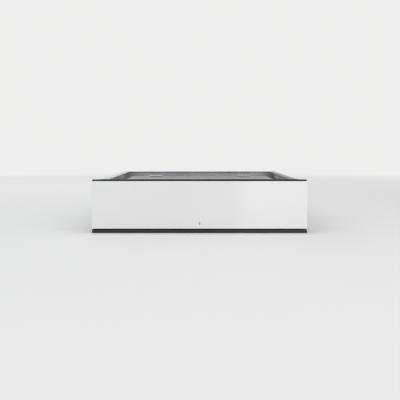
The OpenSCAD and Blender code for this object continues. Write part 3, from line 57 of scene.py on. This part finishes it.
def set_camera():
    """Camera at the photograph's angle and distance, pitched down a little."""
    scale = (GLASS_HI.x - GLASS_LO.x) / GLASS_WIDTH_PX
    depth = IMAGE_PX * LENS_MM / SENSOR_MM * scale
    forward = Vector((0, math.cos(PITCH), -math.sin(PITCH)))
    up = Vector((0, math.sin(PITCH), math.cos(PITCH)))
    right = Vector((1, 0, 0))
    target = Vector((0, FACE_Y, (GLASS_LO.z + GLASS_HI.z) / 2))
    off_x, off_y = (c - IMAGE_PX / 2 for c in GLASS_CENTRE_PX)
    place = target - forward * depth + up * off_y * scale - right * off_x * scale
    data = bpy.data.cameras.new("camera")
    data.lens = LENS_MM
    data.sensor_width = SENSOR_MM
    data.clip_start = 0.05
    camera = bpy.data.objects.new("camera", data)
    camera.matrix_world = Matrix.Translation(place) @ Matrix.Rotation(math.pi / 2 - PITCH, 4, "X")
    scene.collection.objects.link(camera)
    scene.camera = camera


set_camera()


# Materials

class Shader:
    """A material being made: a Principled shader and short calls for the nodes that feed it."""

    def __init__(self, name, color, rough, metallic=0.0, **sockets):
        self.mat = bpy.data.materials.new(name)
        self.mat.use_nodes = True
        self.tree = self.mat.node_tree
        self.bsdf = self.tree.nodes["Principled BSDF"]
        self.set("Base Color", (*color, 1))
        self.set("Roughness", rough)
        self.set("Metallic", metallic)
        for key, value in sockets.items():
            self.set(key.replace("_", " ").title().replace("Ior", "IOR"), value)
        self.coords = self.node("ShaderNodeTexCoord").outputs["Object"]
        self.height = None

    def set(self, socket, value):
        self.bsdf.inputs[socket].default_value = value

    def link(self, out, socket):
        if isinstance(socket, str):
            socket = self.bsdf.inputs[socket]
        self.tree.links.new(out, socket)

    def node(self, kind, **attributes):
        node = self.tree.nodes.new(kind)
        for key, value in attributes.items():
            setattr(node, key, value)
        return node

    def stretched(self, x, y, z):
        mapping = self.node("ShaderNodeMapping")
        mapping.inputs["Scale"].default_value = (x, y, z)
        self.link(self.coords, mapping.inputs["Vector"])
        return mapping.outputs["Vector"]

    def noise(self, scale, detail=3.0, rough=0.55, vector=None):
        node = self.node("ShaderNodeTexNoise")
        self.link(vector or self.coords, node.inputs["Vector"])
        for socket, value in (("Scale", scale), ("Detail", detail), ("Roughness", rough)):
            node.inputs[socket].default_value = value
        return node.outputs["Fac"]

    def cells(self, scale, vector=None, feature="F1"):
        node = self.node("ShaderNodeTexVoronoi", feature=feature)
        self.link(vector or self.coords, node.inputs["Vector"])
        node.inputs["Scale"].default_value = scale
        return node

    def wave(self, scale, direction):
        node = self.node("ShaderNodeTexWave", bands_direction=direction)
        self.link(self.coords, node.inputs["Vector"])
        node.inputs["Scale"].default_value = scale
        return node.outputs["Fac"]

    def spread(self, value, low, high, out_low=0.0, out_high=1.0):
        """Maps the range low to high onto out_low to out_high, and holds what lies beyond."""
        node = self.node("ShaderNodeMapRange", clamp=True)
        numbers = {"From Min": low, "From Max": high, "To Min": out_low, "To Max": out_high}
        for socket, number in numbers.items():
            node.inputs[socket].default_value = number
        self.link(value, node.inputs["Value"])
        return node.outputs["Result"]

    def maths(self, operation, *values):
        node = self.node("ShaderNodeMath", operation=operation)
        for socket, value in zip(node.inputs, values):
            if isinstance(value, (int, float)):
                socket.default_value = value
            else:
                self.link(value, socket)
        return node.outputs[0]

    def blend(self, factor, a, b):
        """Colour a where the factor is 0 and b where it is 1."""
        node = self.node("ShaderNodeMix", data_type="RGBA")
        self.link(factor, node.inputs["Factor"])
        color_a, color_b, color_out = 6, 7, 2
        for index, value in ((color_a, a), (color_b, b)):
            if isinstance(value, tuple):
                node.inputs[index].default_value = (*value, 1)
            else:
                self.link(value, node.inputs[index])
        return node.outputs[color_out]

    def part_of(self, vector, axis):
        node = self.node("ShaderNodeSeparateXYZ")
        self.link(vector, node.inputs[0])
        return node.outputs[axis]

    def position(self, axis):
        return self.part_of(self.coords, axis)

    def facing(self, axis):
        """How far the surface faces along an axis, as 0 to 1 either way."""
        normal = self.node("ShaderNodeNewGeometry").outputs["Normal"]
        return self.maths("ABSOLUTE", self.part_of(normal, axis))

    def cell_tones(self, cells):
        """Two random tones for each cell."""
        tone = self.node("ShaderNodeSeparateColor")
        self.link(cells.outputs["Color"], tone.inputs[0])
        return tone.outputs[0], tone.outputs[1]

    def clouded(self, color, noise, dark, light, low=0.3, high=0.7):
        """Colour that drifts between a darker and a lighter shade with a noise."""
        return self.blend(self.spread(noise, low, high), shade(color, dark), shade(color, light))

    def paint(self, value):
        self.link(value, "Base Color")

    def gloss(self, noise, smooth, rough, low=0.3, high=0.7):
        """Roughness that drifts between two values with a noise."""
        self.link(self.spread(noise, low, high, smooth, rough), "Roughness")

    def relief(self, value, strength, distance):
        node = self.node("ShaderNodeBump")
        node.inputs["Strength"].default_value = strength
        node.inputs["Distance"].default_value = distance
        self.link(value, node.inputs["Height"])
        if self.height:
            self.link(self.height, node.inputs["Normal"])
        self.height = node.outputs["Normal"]
        self.link(self.height, "Normal")


def shade(color, factor):
    return tuple(min(1.0, c * factor) for c in color)


def enamel_glass(name, color, edge):
    """Polished glass with paint behind it; its ground edge shows the glass's own green tint, painted
    lighter than the face as a painted highlight along the edges.
    """
    s = Shader(name, color, 0.32, coat_weight=1.0, coat_roughness=0.03, coat_ior=1.52,
               specular_ior_level=0.4)
    front = s.clouded(color, s.noise(3.0, 2.0), 0.985, 1.012)
    # Edges and bevels take the edge colour: the glass's green tint, lighter than the face as a painted
    # highlight.
    s.paint(s.blend(s.spread(s.facing("Y"), 0.55, 0.97), edge, front))
    s.gloss(s.noise(14.0, 5.0, 0.6), 0.28, 0.4, 0.3, 0.75)
    s.relief(s.noise(5.0, 1.0), 0.12, 0.0006)
    return s.mat


def black_glass(name, color):
    s = Shader(name, color, 0.35, coat_weight=1.0, coat_roughness=0.02, coat_ior=1.5,
               specular_ior_level=0.2)
    s.paint(s.blend(s.noise(6.0, 3.0), shade(color, 0.8), shade(color, 1.3)))
    s.gloss(s.noise(22.0, 6.0, 0.65), 0.29, 0.42, 0.35, 0.75)
    s.relief(s.noise(6.0, 1.0), 0.1, 0.0005)
    return s.mat


def clear_glass(name, tint):
    s = Shader(name, tint, 0.02, transmission_weight=1.0, ior=1.5)
    s.gloss(s.noise(18.0, 6.0, 0.7), 0.01, 0.07, 0.45, 0.8)
    s.relief(s.noise(4.0, 1.0), 0.08, 0.0005)
    return s.mat


def powder_coat(name, color):
    """Fine-textured paint baked on sheet steel, with a slow drift of its tone."""
    s = Shader(name, color, 0.5, specular_ior_level=0.45)
    s.paint(s.clouded(color, s.noise(9.0, 4.0, 0.6), 0.9, 1.12))
    s.gloss(s.noise(60.0, 4.0), 0.44, 0.58)
    s.relief(s.noise(1500.0, 2.0, 0.6), 0.35, 0.00012)
    return s.mat


def galvanised(name, color):
    """Zinc-coated sheet: large soft spangles, rolling lines and light scuffs."""
    s = Shader(name, color, 0.42, 1.0)
    tone, other_tone = s.cell_tones(s.cells(95.0))
    spangle = s.blend(s.spread(tone, 0.0, 1.0), shade(color, 0.86), shade(color, 1.08))
    scuffs = s.spread(s.noise(7.0, 4.0, 0.6), 0.35, 0.75, 0.0, 0.45)
    s.paint(s.blend(scuffs, spangle, shade(color, 0.78)))
    lines = s.noise(40.0, 5.0, 0.7, s.stretched(1.0, 26.0, 26.0))
    mixed = s.maths("ADD", s.maths("MULTIPLY", other_tone, 0.14), s.maths("MULTIPLY", lines, 0.22))
    s.gloss(mixed, 0.29, 0.54, 0.0, 0.36)
    s.relief(s.noise(260.0, 3.0), 0.12, 0.0001)
    return s.mat


def brushed(name, color, rough=0.3, strength=0.2):
    """Brushed sheet, with lines along X."""
    s = Shader(name, color, rough, 1.0, anisotropic=0.55)
    along = s.stretched(1.5, 90.0, 90.0)
    lines = s.noise(24.0, 8.0, 0.78, along)
    streaks = s.noise(2.6, 5.0, 0.7, along)
    both = s.maths("ADD", s.maths("MULTIPLY", lines, 0.5), s.maths("MULTIPLY", streaks, 0.5))
    s.paint(s.clouded(color, both, 0.82, 1.1, 0.36, 0.64))
    s.gloss(both, rough - 0.01, rough + 0.13, 0.36, 0.64)
    s.relief(lines, strength, 0.00006)
    return s.mat


def drawn_steel(name, color):
    """Deep-drawn satin stainless: faint draw lines down the walls and a slow waviness."""
    s = Shader(name, color, 0.32, 1.0)
    drawn = s.clouded(color, s.noise(30.0, 2.0, 0.5, s.stretched(8.0, 8.0, 0.6)), 0.9, 1.06)
    wall = s.spread(s.facing("Z"), 0.4, 0.9, 1.0, 0.0)
    s.paint(s.blend(wall, color, drawn))
    s.gloss(s.noise(12.0, 1.0), 0.29, 0.36)
    s.relief(s.noise(9.0, 0.0), 0.1, 0.0005)
    return s.mat


def bright_steel(name, color, rough=0.22):
    s = Shader(name, color, rough, 1.0)
    fine = s.noise(220.0, 2.0, 0.6, s.stretched(1.0, 0.12, 1.0))
    s.paint(s.clouded(color, fine, 0.9, 1.05))
    s.gloss(s.noise(60.0, 2.0, 0.6), rough - 0.04, rough + 0.04)
    s.relief(fine, 0.05, 0.00004)
    return s.mat


def cast_metal(name, color):
    s = Shader(name, color, 0.5, 0.85)
    skin = s.noise(420.0, 4.0, 0.65)
    s.paint(s.clouded(color, s.noise(24.0, 4.0), 0.82, 1.1))
    s.gloss(skin, 0.42, 0.62)
    s.relief(skin, 0.4, 0.00018)
    return s.mat


def moulded(name, color, rough=0.5, grain=900.0, sheen=0.0):
    """Moulded plastic or rubber: a fine spark-eroded grain and slight flow shading."""
    s = Shader(name, color, rough, sheen_weight=sheen, specular_ior_level=0.45)
    s.paint(s.clouded(color, s.noise(18.0, 3.0), 0.9, 1.12))
    s.gloss(s.noise(70.0, 4.0), rough - 0.07, rough + 0.08)
    s.relief(s.cells(grain).outputs["Distance"], 0.22, 0.00008)
    return s.mat


def ink(name, color, rough):
    """Screen print: an even film whose gloss varies a little."""
    s = Shader(name, color, rough, specular_ior_level=0.4)
    s.paint(s.clouded(color, s.noise(40.0, 4.0), 0.94, 1.06))
    s.gloss(s.noise(25.0, 4.0, 0.6), rough - 0.06, rough + 0.06)
    return s.mat


def silicone(name, color, clear=0.25):
    s = Shader(name, color, 0.38, transmission_weight=clear, ior=1.41, subsurface_weight=0.15)
    s.set("Subsurface Radius", (0.003, 0.003, 0.003))
    s.paint(s.clouded(color, s.noise(26.0, 3.0), 0.93, 1.04))
    s.gloss(s.noise(120.0, 4.0), 0.3, 0.48)
    s.relief(s.noise(500.0, 3.0), 0.12, 0.00006)
    return s.mat


def woven_tape(name, color, middle_y):
    """Non-stick woven glass tape over a heating wire that runs along X at middle_y."""
    s = Shader(name, color, 0.42, coat_weight=0.25, coat_roughness=0.3)
    threads = 520.0
    weave = s.maths("MULTIPLY", s.wave(threads, "X"), s.wave(threads, "Y"))
    cloth = s.blend(s.spread(weave, 0.1, 0.7), shade(color, 0.6), shade(color, 1.25))
    from_wire = s.maths("ABSOLUTE", s.maths("SUBTRACT", s.position("Y"), middle_y))
    off_wire = s.spread(from_wire, 0.6 * MM, 1.4 * MM)
    s.paint(s.blend(off_wire, shade(color, 1.7), cloth))
    s.relief(weave, 0.5, 0.0001)
    return s.mat


def circuit_board(name, top):
    """Solder-resist green with tracks, and dark parts above the board's surface."""
    green = (0.02, 0.13, 0.06)
    s = Shader(name, green, 0.35, coat_weight=0.3, coat_roughness=0.15)
    grid = s.cells(260.0, s.stretched(1.0, 2.2, 1.0), "DISTANCE_TO_EDGE").outputs["Distance"]
    tracks = s.spread(grid, 0.02, 0.06)
    face = s.blend(tracks, shade(green, 2.1), green)
    tone = s.cell_tones(s.cells(34.0, s.stretched(1.0, 1.0, 0.0)))[0]
    bodies = s.blend(s.spread(tone, 0.55, 0.6), (0.03, 0.03, 0.035), (0.34, 0.33, 0.3))
    above = s.spread(s.position("Z"), top + 0.4 * MM, top + 0.8 * MM)
    s.paint(s.blend(above, face, bodies))
    s.gloss(s.noise(90.0, 3.0), 0.28, 0.48)
    s.relief(tracks, 0.3, 0.00005)
    return s.mat


def wound_copper(name, color, centre):
    """Toroid: windings of enamelled wire that run across the ring, under clear tape, with painted shade
    between the windings and a painted highlight on their tops.
    """
    s = Shader(name, color, 0.35, 0.6, coat_weight=0.5, coat_roughness=0.2)
    half_turns = 90.0
    tape_turns = 11.0
    x = s.maths("SUBTRACT", s.position("X"), centre.x)
    y = s.maths("SUBTRACT", s.position("Y"), centre.y)
    angle = s.maths("ARCTAN2", y, x)
    turn_shade_and_relief = s.maths("ABSOLUTE", s.maths("SINE", s.maths("MULTIPLY", angle, half_turns)))
    tape = s.maths("SINE", s.maths("MULTIPLY", angle, tape_turns))
    # Painted shade and highlight: the copper colour is 0.45 times itself in the grooves between
    # windings and 1.25 times on their tops.
    wire = s.blend(turn_shade_and_relief, shade(color, 0.45), shade(color, 1.25))
    s.paint(s.blend(s.spread(tape, 0.6, 0.7, 0.0, 0.55), wire, (0.62, 0.52, 0.3)))
    s.relief(turn_shade_and_relief, 0.6, 0.0004)
    s.gloss(s.noise(60.0), 0.28, 0.44)
    return s.mat


def inlet_plastic(name, color, lo, hi):
    """Black plastic, with metal blades inside the socket."""
    s = Shader(name, color, 0.45)
    centre = (lo + hi) / 2
    half_w = 8.2 * MM
    width_to_height = 1.9
    floor_y = lo.y + 5.2 * MM
    x = s.maths("ABSOLUTE", s.maths("SUBTRACT", s.position("X"), centre.x))
    z = s.maths("ABSOLUTE", s.maths("SUBTRACT", s.position("Z"), centre.z))
    reach = s.maths("MAXIMUM", s.maths("MULTIPLY", z, width_to_height), x)
    inside = s.maths("LESS_THAN", reach, half_w)
    blade = s.maths("MULTIPLY", inside, s.maths("GREATER_THAN", s.position("Y"), floor_y))
    s.paint(s.blend(blade, color, (0.7, 0.68, 0.62)))
    s.link(blade, "Metallic")
    s.gloss(s.noise(150.0), 0.3, 0.5)
    s.relief(s.cells(900.0).outputs["Distance"], 0.2, 0.00008)
    return s.mat


CREASE = math.radians(32)
BEVEL_FROM = math.radians(40)
COPLANAR = math.radians(0.5)


def smooth(obj):
    """Smooth shading that keeps flat faces flat and edges above the crease angle sharp."""
    for polygon in obj.data.polygons:
        polygon.use_smooth = True
    split = obj.modifiers.new("creases", "EDGE_SPLIT")
    split.split_angle = CREASE
    flat = obj.modifiers.new("flats", "WEIGHTED_NORMAL")
    flat.mode = "FACE_AREA"
    flat.weight = 60
    flat.keep_sharp = True


def round_edges(obj, width_mm):
    """Joins coplanar triangles, whose slivers would show, and rounds the sharp edges."""
    joined = obj.modifiers.new("joined_flats", "DECIMATE")
    joined.decimate_type = "DISSOLVE"
    joined.angle_limit = COPLANAR
    edges = obj.modifiers.new("edges", "BEVEL")
    edges.width = width_mm * MM
    edges.segments = 2
    edges.limit_method = "ANGLE"
    edges.angle_limit = BEVEL_FROM
    edges.use_clamp_overlap = True


def dress(names, material, edge_mm=0.0):
    """Gives CAD nodes a material and, where it helps, a small rounded edge."""
    for name in names.split():
        node = NODES[name]
        node.data.materials.clear()
        node.data.materials.append(material)
        node.modifiers.new("weld", "WELD").merge_threshold = 0.01 * MM
        if edge_mm:
            round_edges(node, edge_mm)
        smooth(node)


strip_lo, strip_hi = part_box("heating_strip")
coil_lo, coil_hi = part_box("seal_transformer")
inlet_lo, inlet_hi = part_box("mains_inlet")
touch_board_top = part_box("control_board")[1].z
power_board_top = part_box("power_board")[0].z + 9.6 * MM

# The second colour is the glass edge's green tint, lighter than the face as a painted highlight.
white = enamel_glass("white_glass", (0.755, 0.753, 0.752), (0.80, 0.87, 0.84))
# Anthracite paint for the front frame, trim and carrier, set darker than the paint itself as painted
# shade of a niche.
anthracite_and_shade = powder_coat("anthracite_paint", (0.022, 0.022, 0.0225))
zinc = galvanised("zinc_sheet", (0.56, 0.58, 0.59))
deck_steel = brushed("brushed_stainless", (0.56, 0.56, 0.55))
tub_steel = drawn_steel("drawn_stainless", (0.60, 0.60, 0.59))
strainer_steel = bright_steel("strainer_steel", (0.62, 0.62, 0.61), 0.33)
bright = bright_steel("bright_zinc", (0.66, 0.67, 0.68))
polished = bright_steel("polished_steel", (0.72, 0.72, 0.72), 0.14)
spring_steel = bright_steel("spring_steel", (0.30, 0.31, 0.33), 0.34)
turned = bright_steel("turned_steel", (0.52, 0.53, 0.54), 0.33)
brass = bright_steel("turned_brass", (0.72, 0.55, 0.27), 0.22)
bar_alu = brushed("satin_aluminium", (0.72, 0.72, 0.73), 0.34, 0.14)
casting = cast_metal("cast_aluminium", (0.46, 0.47, 0.49))
rubber = moulded("black_rubber", (0.025, 0.025, 0.026), 0.72, 700.0, 0.2)
white_plastic = moulded("white_acetal", (0.74, 0.74, 0.72), 0.42)
grey_plastic = moulded("grey_acetal", (0.16, 0.17, 0.18), 0.4)
black_plastic = moulded("black_plastic", (0.022, 0.022, 0.024), 0.48)
carbon = moulded("pressed_carbon", (0.04, 0.04, 0.042), 0.6, 1400.0)
wire_sleeve = moulded("wire_sleeve", (0.03, 0.03, 0.033), 0.4, 1500.0)
seal_rubber = moulded("grey_silicone", (0.06, 0.06, 0.064), 0.5, 1200.0, 0.1)
clear_pad = silicone("clear_silicone", (0.78, 0.78, 0.76))
hose = silicone("hose_silicone", (0.66, 0.70, 0.68), 0.3)
tape = woven_tape("woven_tape", (0.30, 0.17, 0.09), (strip_lo.y + strip_hi.y) / 2)
socket_black = inlet_plastic("inlet_plastic", (0.022, 0.022, 0.024), inlet_lo, inlet_hi)
touch_black = black_glass("black_glass", (0.012, 0.012, 0.014))
lid_clear = clear_glass("tinted_glass", (0.62, 0.68, 0.68))
touch_board = circuit_board("touch_board", touch_board_top)
power_board = circuit_board("power_board", power_board_top)
copper = wound_copper("wound_copper", (0.62, 0.3, 0.12), (coil_lo + coil_hi) / 2)

dress("front_glass", white)
dress("front_frame bottom_trim front_carrier", anthracite_and_shade, 0.35)
dress("base_pan side_wall_left side_wall_right rear_wall", zinc, 0.25)
dress("drawer_chassis cross_rail pump_cradle", zinc, 0.25)
dress("deck_plate service_cover", deck_steel, 0.25)
dress("vacuum_chamber", tub_steel)
dress("suction_strainer", strainer_steel, 0.3)
dress("runner_outer_left runner_outer_right runner_middle_left", bright, 0.25)
dress("runner_middle_right runner_inner_left runner_inner_right", bright, 0.25)
dress("ball_cages_outer ball_cages_inner", polished)
dress("housing_fasteners drawer_fasteners lid_bolts", polished, 0.2)
dress("hinge_bases hinge_arms", turned, 0.35)
dress("hinge_pins", polished, 0.3)
dress("hinge_springs", spring_steel)
dress("rotor_shaft", turned, 0.4)
dress("pump_vanes", carbon, 0.2)
dress("lift_pins", brass, 0.3)
dress("seal_bar", bar_alu, 0.4)
dress("heating_strip", tape, 0.2)
dress("base_pads pump_mounts", rubber, 0.4)
dress("pin_bushes latch_body", white_plastic, 0.4)
dress("lift_cylinders latch_plunger", grey_plastic, 0.5)
dress("control_tray fan_frame fan_impeller valve_coils counter_holder", black_plastic, 0.4)
dress("mains_inlet", socket_black, 0.2)
dress("lid_gasket", seal_rubber)
dress("front_buffers counter_strip", clear_pad, 0.3)
dress("vacuum_hoses", hose)
dress("wire_leads", wire_sleeve)
dress("valve_block motor_shell pump_housing", casting, 0.5)
dress("control_glass", touch_black)
dress("lid_glass", lid_clear)
dress("control_board", touch_board, 0.1)
dress("power_board", power_board, 0.3)
dress("seal_transformer", copper, 0.6)


# Detail pieces

def piece(name, build, material, body):
    """A new mesh object, made by build(bm), that rides on a CAD body."""
    mesh = bpy.data.meshes.new(name)
    bm = bmesh.new()
    build(bm)
    bmesh.ops.recalc_face_normals(bm, faces=bm.faces)
    bm.to_mesh(mesh)
    bm.free()
    mesh.materials.append(material)
    obj = bpy.data.objects.new(name, mesh)
    scene.collection.objects.link(obj)
    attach(obj, body)


def rounded_outline(w, h, r, steps=8):
    points = []
    for cx, cy, start in ((1, 1, 0), (-1, 1, 90), (-1, -1, 180), (1, -1, 270)):
        for i in range(steps + 1):
            a = math.radians(start + 90 * i / steps)
            points.append((cx * (w / 2 - r) + r * math.cos(a), cy * (h / 2 - r) + r * math.sin(a)))
    return points


def circle(r, n=40, cx=0.0, cy=0.0, start=0.0, end=360.0):
    angles = [math.radians(start + (end - start) * i / n) for i in range(n)]
    return [(cx + r * math.cos(a), cy + r * math.sin(a)) for a in angles]


def arc_band(outer_r, inner_r, n, start, end, cy=0.0):
    """Outline of a band along part of a circle."""
    outer = circle(outer_r, n, cy=cy, start=start, end=end)
    inner = circle(inner_r, n, cy=cy, start=start, end=end)
    return outer + inner[::-1]


def prism(bm, outer, inner, z0, z1, place):
    """A flat band between two outlines of equally many points, or a plate if inner is None."""
    n = len(outer)
    rows = [(outer, z0), (outer, z1)]
    pairs = [(0, 1)]
    if inner:
        rows += [(inner, z1), (inner, z0)]
        pairs = [(0, 1), (1, 2), (2, 3), (3, 0)]
    rings = [[bm.verts.new(place(Vector((x, y, z)))) for x, y in ring] for ring, z in rows]
    if not inner:
        bm.faces.new(rings[0][::-1])
        bm.faces.new(rings[1])
    for a, b in pairs:
        for i in range(n):
            j = (i + 1) % n
            bm.faces.new((rings[a][i], rings[a][j], rings[b][j], rings[b][i]))


def on_front(x, z):
    """Places a flat shape, drawn in X and Y, on the glass front at x and z."""
    return lambda v: Vector((x + v.x, FACE_Y - v.z, z + v.y))


def on_top(x, y, z):
    return lambda v: Vector((x + v.x, y + v.y, z + v.z))


# Thickness of a print
INK = 0.03 * MM


def press_mark(bm):
    """The generic press mark low on the front: a fingertip with a thin arc round its tip."""
    height = 13.3 * MM
    finger_w, finger_h, finger_r = 2.7 * MM, 7.6 * MM, 1.2 * MM
    place = on_front(0.0, GLASS_LO.z + height)
    prism(bm, rounded_outline(finger_w, finger_h, finger_r, 6), None, 0, INK, place)
    tip = finger_h / 2 - finger_r
    prism(bm, arc_band(3.2 * MM, 2.4 * MM, 28, -15, 195, tip), None, 0, INK, place)


def touch_marks(bm):
    """Plain symbols on the touch glass: power ring, bars for levels, minus, plus and start."""
    lo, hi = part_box("control_glass")
    y = (lo.y + hi.y) / 2
    power_x, levels_x, minus_x, plus_x, start_x = -0.19, (-0.11, 0.02), -0.065, 0.065, 0.19
    line = 0.6 * MM
    pitch = 3.2 * MM

    def mark(outer, inner, x):
        prism(bm, outer, inner, 0, INK, on_top(x, y, hi.z))

    def plate(w, h, x, dy=0.0):
        outline = rounded_outline(w, h, min(w, h) * 0.3, 3)
        mark([(px, py + dy) for px, py in outline], None, x)

    mark(arc_band(4.6 * MM, 4.0 * MM, 40, -240, 60), None, power_x)
    plate(line, 4.6 * MM, power_x, 3.2 * MM)
    for x in levels_x:
        for i in range(3):
            plate(1.4 * MM, (2.4 + 1.6 * i) * MM, x + (i - 1) * pitch, (0.8 * i - 1.2) * MM)
        for i in range(3):
            mark(circle(0.7 * MM, 16, cx=(i - 1) * pitch, cy=-8 * MM), None, x)
    for x in (minus_x, plus_x):
        mark(circle(5.0 * MM), circle(4.4 * MM), x)
        plate(5.0 * MM, line, x)
    for side in (1, -1):
        plate(line, 2.2 * MM, plus_x, side * 1.45 * MM)
    frame_outer = rounded_outline(13 * MM, 9 * MM, 4.4 * MM)
    frame_inner = rounded_outline(11.8 * MM, 7.8 * MM, 3.8 * MM)
    mark(frame_outer, frame_inner, start_x)
    mark([(-2.0 * MM, -2.4 * MM), (2.6 * MM, 0.0), (-2.0 * MM, 2.4 * MM)], None, start_x)


def lid_border(face_z):
    """Returns what builds a film round the lid's clear window, on the glass face at face_z."""
    def build(bm):
        margin = 16 * MM
        edge = 1 * MM
        centre = (LID_LO + LID_HI) / 2
        size = LID_HI - LID_LO
        tub_lo, tub_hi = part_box("vacuum_chamber")
        tub = tub_hi - tub_lo
        shift = (tub_lo.y + tub_hi.y) / 2 - centre.y
        window = rounded_outline(tub.x - 2 * margin, tub.y - 2 * margin, 30 * MM)
        inner = [(x, y + shift) for x, y in window]
        outer = rounded_outline(size.x - 2 * edge, size.y - 2 * edge, 13 * MM)
        place = on_top(centre.x, centre.y, 0.0)
        prism(bm, outer, inner, face_z - INK, face_z + INK, place)
    return build


ink_grey = ink("printed_grey", (0.22, 0.22, 0.22), 0.4)
ink_white = ink("printed_white", (0.62, 0.63, 0.63), 0.35)
ink_black = ink("printed_black", (0.012, 0.012, 0.013), 0.36)
lid_black = black_glass("lid_black", (0.011, 0.011, 0.012))

piece("press_mark", press_mark, ink_grey, "drawer")
piece("touch_marks", touch_marks, ink_white, "drawer")
# The lid's black border: the print on its underside, and the glossy face that is seen through the glass
piece("lid_print", lid_border(LID_LO.z), ink_black, "lid")
piece("lid_face", lid_border(LID_HI.z), lid_black, "lid")


# Floor, background and light

PALE = (0.86, 0.86, 0.855, 1)
FLOOR_RADIUS = 9.0
FADE_FROM, FADE_TO = 0.9, 3.4


def seen_ray(s):
    """1 for rays that show the surface, straight or through a reflection or glass."""
    path = s.node("ShaderNodeLightPath").outputs
    mirrored = s.maths("MAXIMUM", path["Is Glossy Ray"], path["Is Transmission Ray"])
    return s.maths("MAXIMUM", path["Is Camera Ray"], mirrored)


def stage_material():
    """Pale matt floor that fades into the even background a few steps away."""
    s = Shader("stage", (0.80, 0.80, 0.79), 0.85, specular_ior_level=0.2)
    s.paint(s.blend(s.noise(1.2, 3.0), (0.79, 0.79, 0.78), (0.81, 0.81, 0.80)))
    glow = s.node("ShaderNodeEmission")
    glow.inputs["Color"].default_value = PALE
    away = s.node("ShaderNodeVectorMath", operation="LENGTH")
    s.link(s.coords, away.inputs[0])
    fade = s.spread(away.outputs["Value"], FADE_FROM, FADE_TO)
    mix = s.node("ShaderNodeMixShader")
    s.link(s.maths("MULTIPLY", seen_ray(s), fade), mix.inputs[0])
    s.link(s.bsdf.outputs[0], mix.inputs[1])
    s.link(glow.outputs[0], mix.inputs[2])
    s.link(mix.outputs[0], s.tree.nodes["Material Output"].inputs["Surface"])
    return s.mat


def set_stage():
    mesh = bpy.data.meshes.new("floor")
    bm = bmesh.new()
    bm.faces.new([bm.verts.new((x, y, 0)) for x, y in circle(FLOOR_RADIUS, 64)])
    bm.to_mesh(mesh)
    bm.free()
    mesh.materials.append(stage_material())
    floor = bpy.data.objects.new("floor", mesh)
    scene.collection.objects.link(floor)


def area_light(name, place, aim, size, power, color=(1, 1, 1)):
    data = bpy.data.lights.new(name, "AREA")
    data.shape = "RECTANGLE"
    data.size, data.size_y = size
    data.energy = power
    data.color = color
    lamp = bpy.data.objects.new(name, data)
    lamp.location = place
    lamp.rotation_euler = (Vector(aim) - Vector(place)).to_track_quat("-Z", "Y").to_euler()
    scene.collection.objects.link(lamp)
    return lamp


def set_world(strength):
    """Soft sky light of the given strength; looked at, the sky is the pale background."""
    world = bpy.data.worlds.new("world")
    world.use_nodes = True
    tree = world.node_tree
    light = tree.nodes["Background"]
    light.inputs["Color"].default_value = (0.96, 0.98, 1.0, 1)
    light.inputs["Strength"].default_value = strength
    pale = tree.nodes.new("ShaderNodeBackground")
    pale.inputs["Color"].default_value = PALE
    path = tree.nodes.new("ShaderNodeLightPath")
    mix = tree.nodes.new("ShaderNodeMixShader")
    tree.links.new(path.outputs["Is Camera Ray"], mix.inputs[0])
    tree.links.new(light.outputs[0], mix.inputs[1])
    tree.links.new(pale.outputs[0], mix.inputs[2])
    tree.links.new(mix.outputs[0], tree.nodes["World Output"].inputs["Surface"])
    scene.world = world


def set_light():
    """Four large soft lamps, and a narrow one that lightens the right third of the front."""
    front = (0, -0.1, 0.05)
    set_world(0.45)
    area_light("key", (2.1, -2.4, 1.95), front, (4.4, 3.2), 62, (1.0, 0.99, 0.97))
    area_light("fill", (-2.3, -2.3, 1.6), front, (3.4, 2.6), 37, (0.97, 0.98, 1.0))
    area_light("top", (0.0, 0.3, 2.6), (0, 0.0, 0.0), (3.2, 3.2), 18)
    area_light("back", (-0.9, 2.0, 1.5), (0, 0.1, 0.05), (2.2, 1.2), 12)
    strip = area_light("strip", (0.26, -1.28, 0.08), (0.26, 0.0, 0.08), (0.30, 0.16), 0.0095)
    strip.data.spread = math.radians(5)
    strip.visible_camera = False


set_stage()
set_light()
scene.view_settings.view_transform = "Standard"
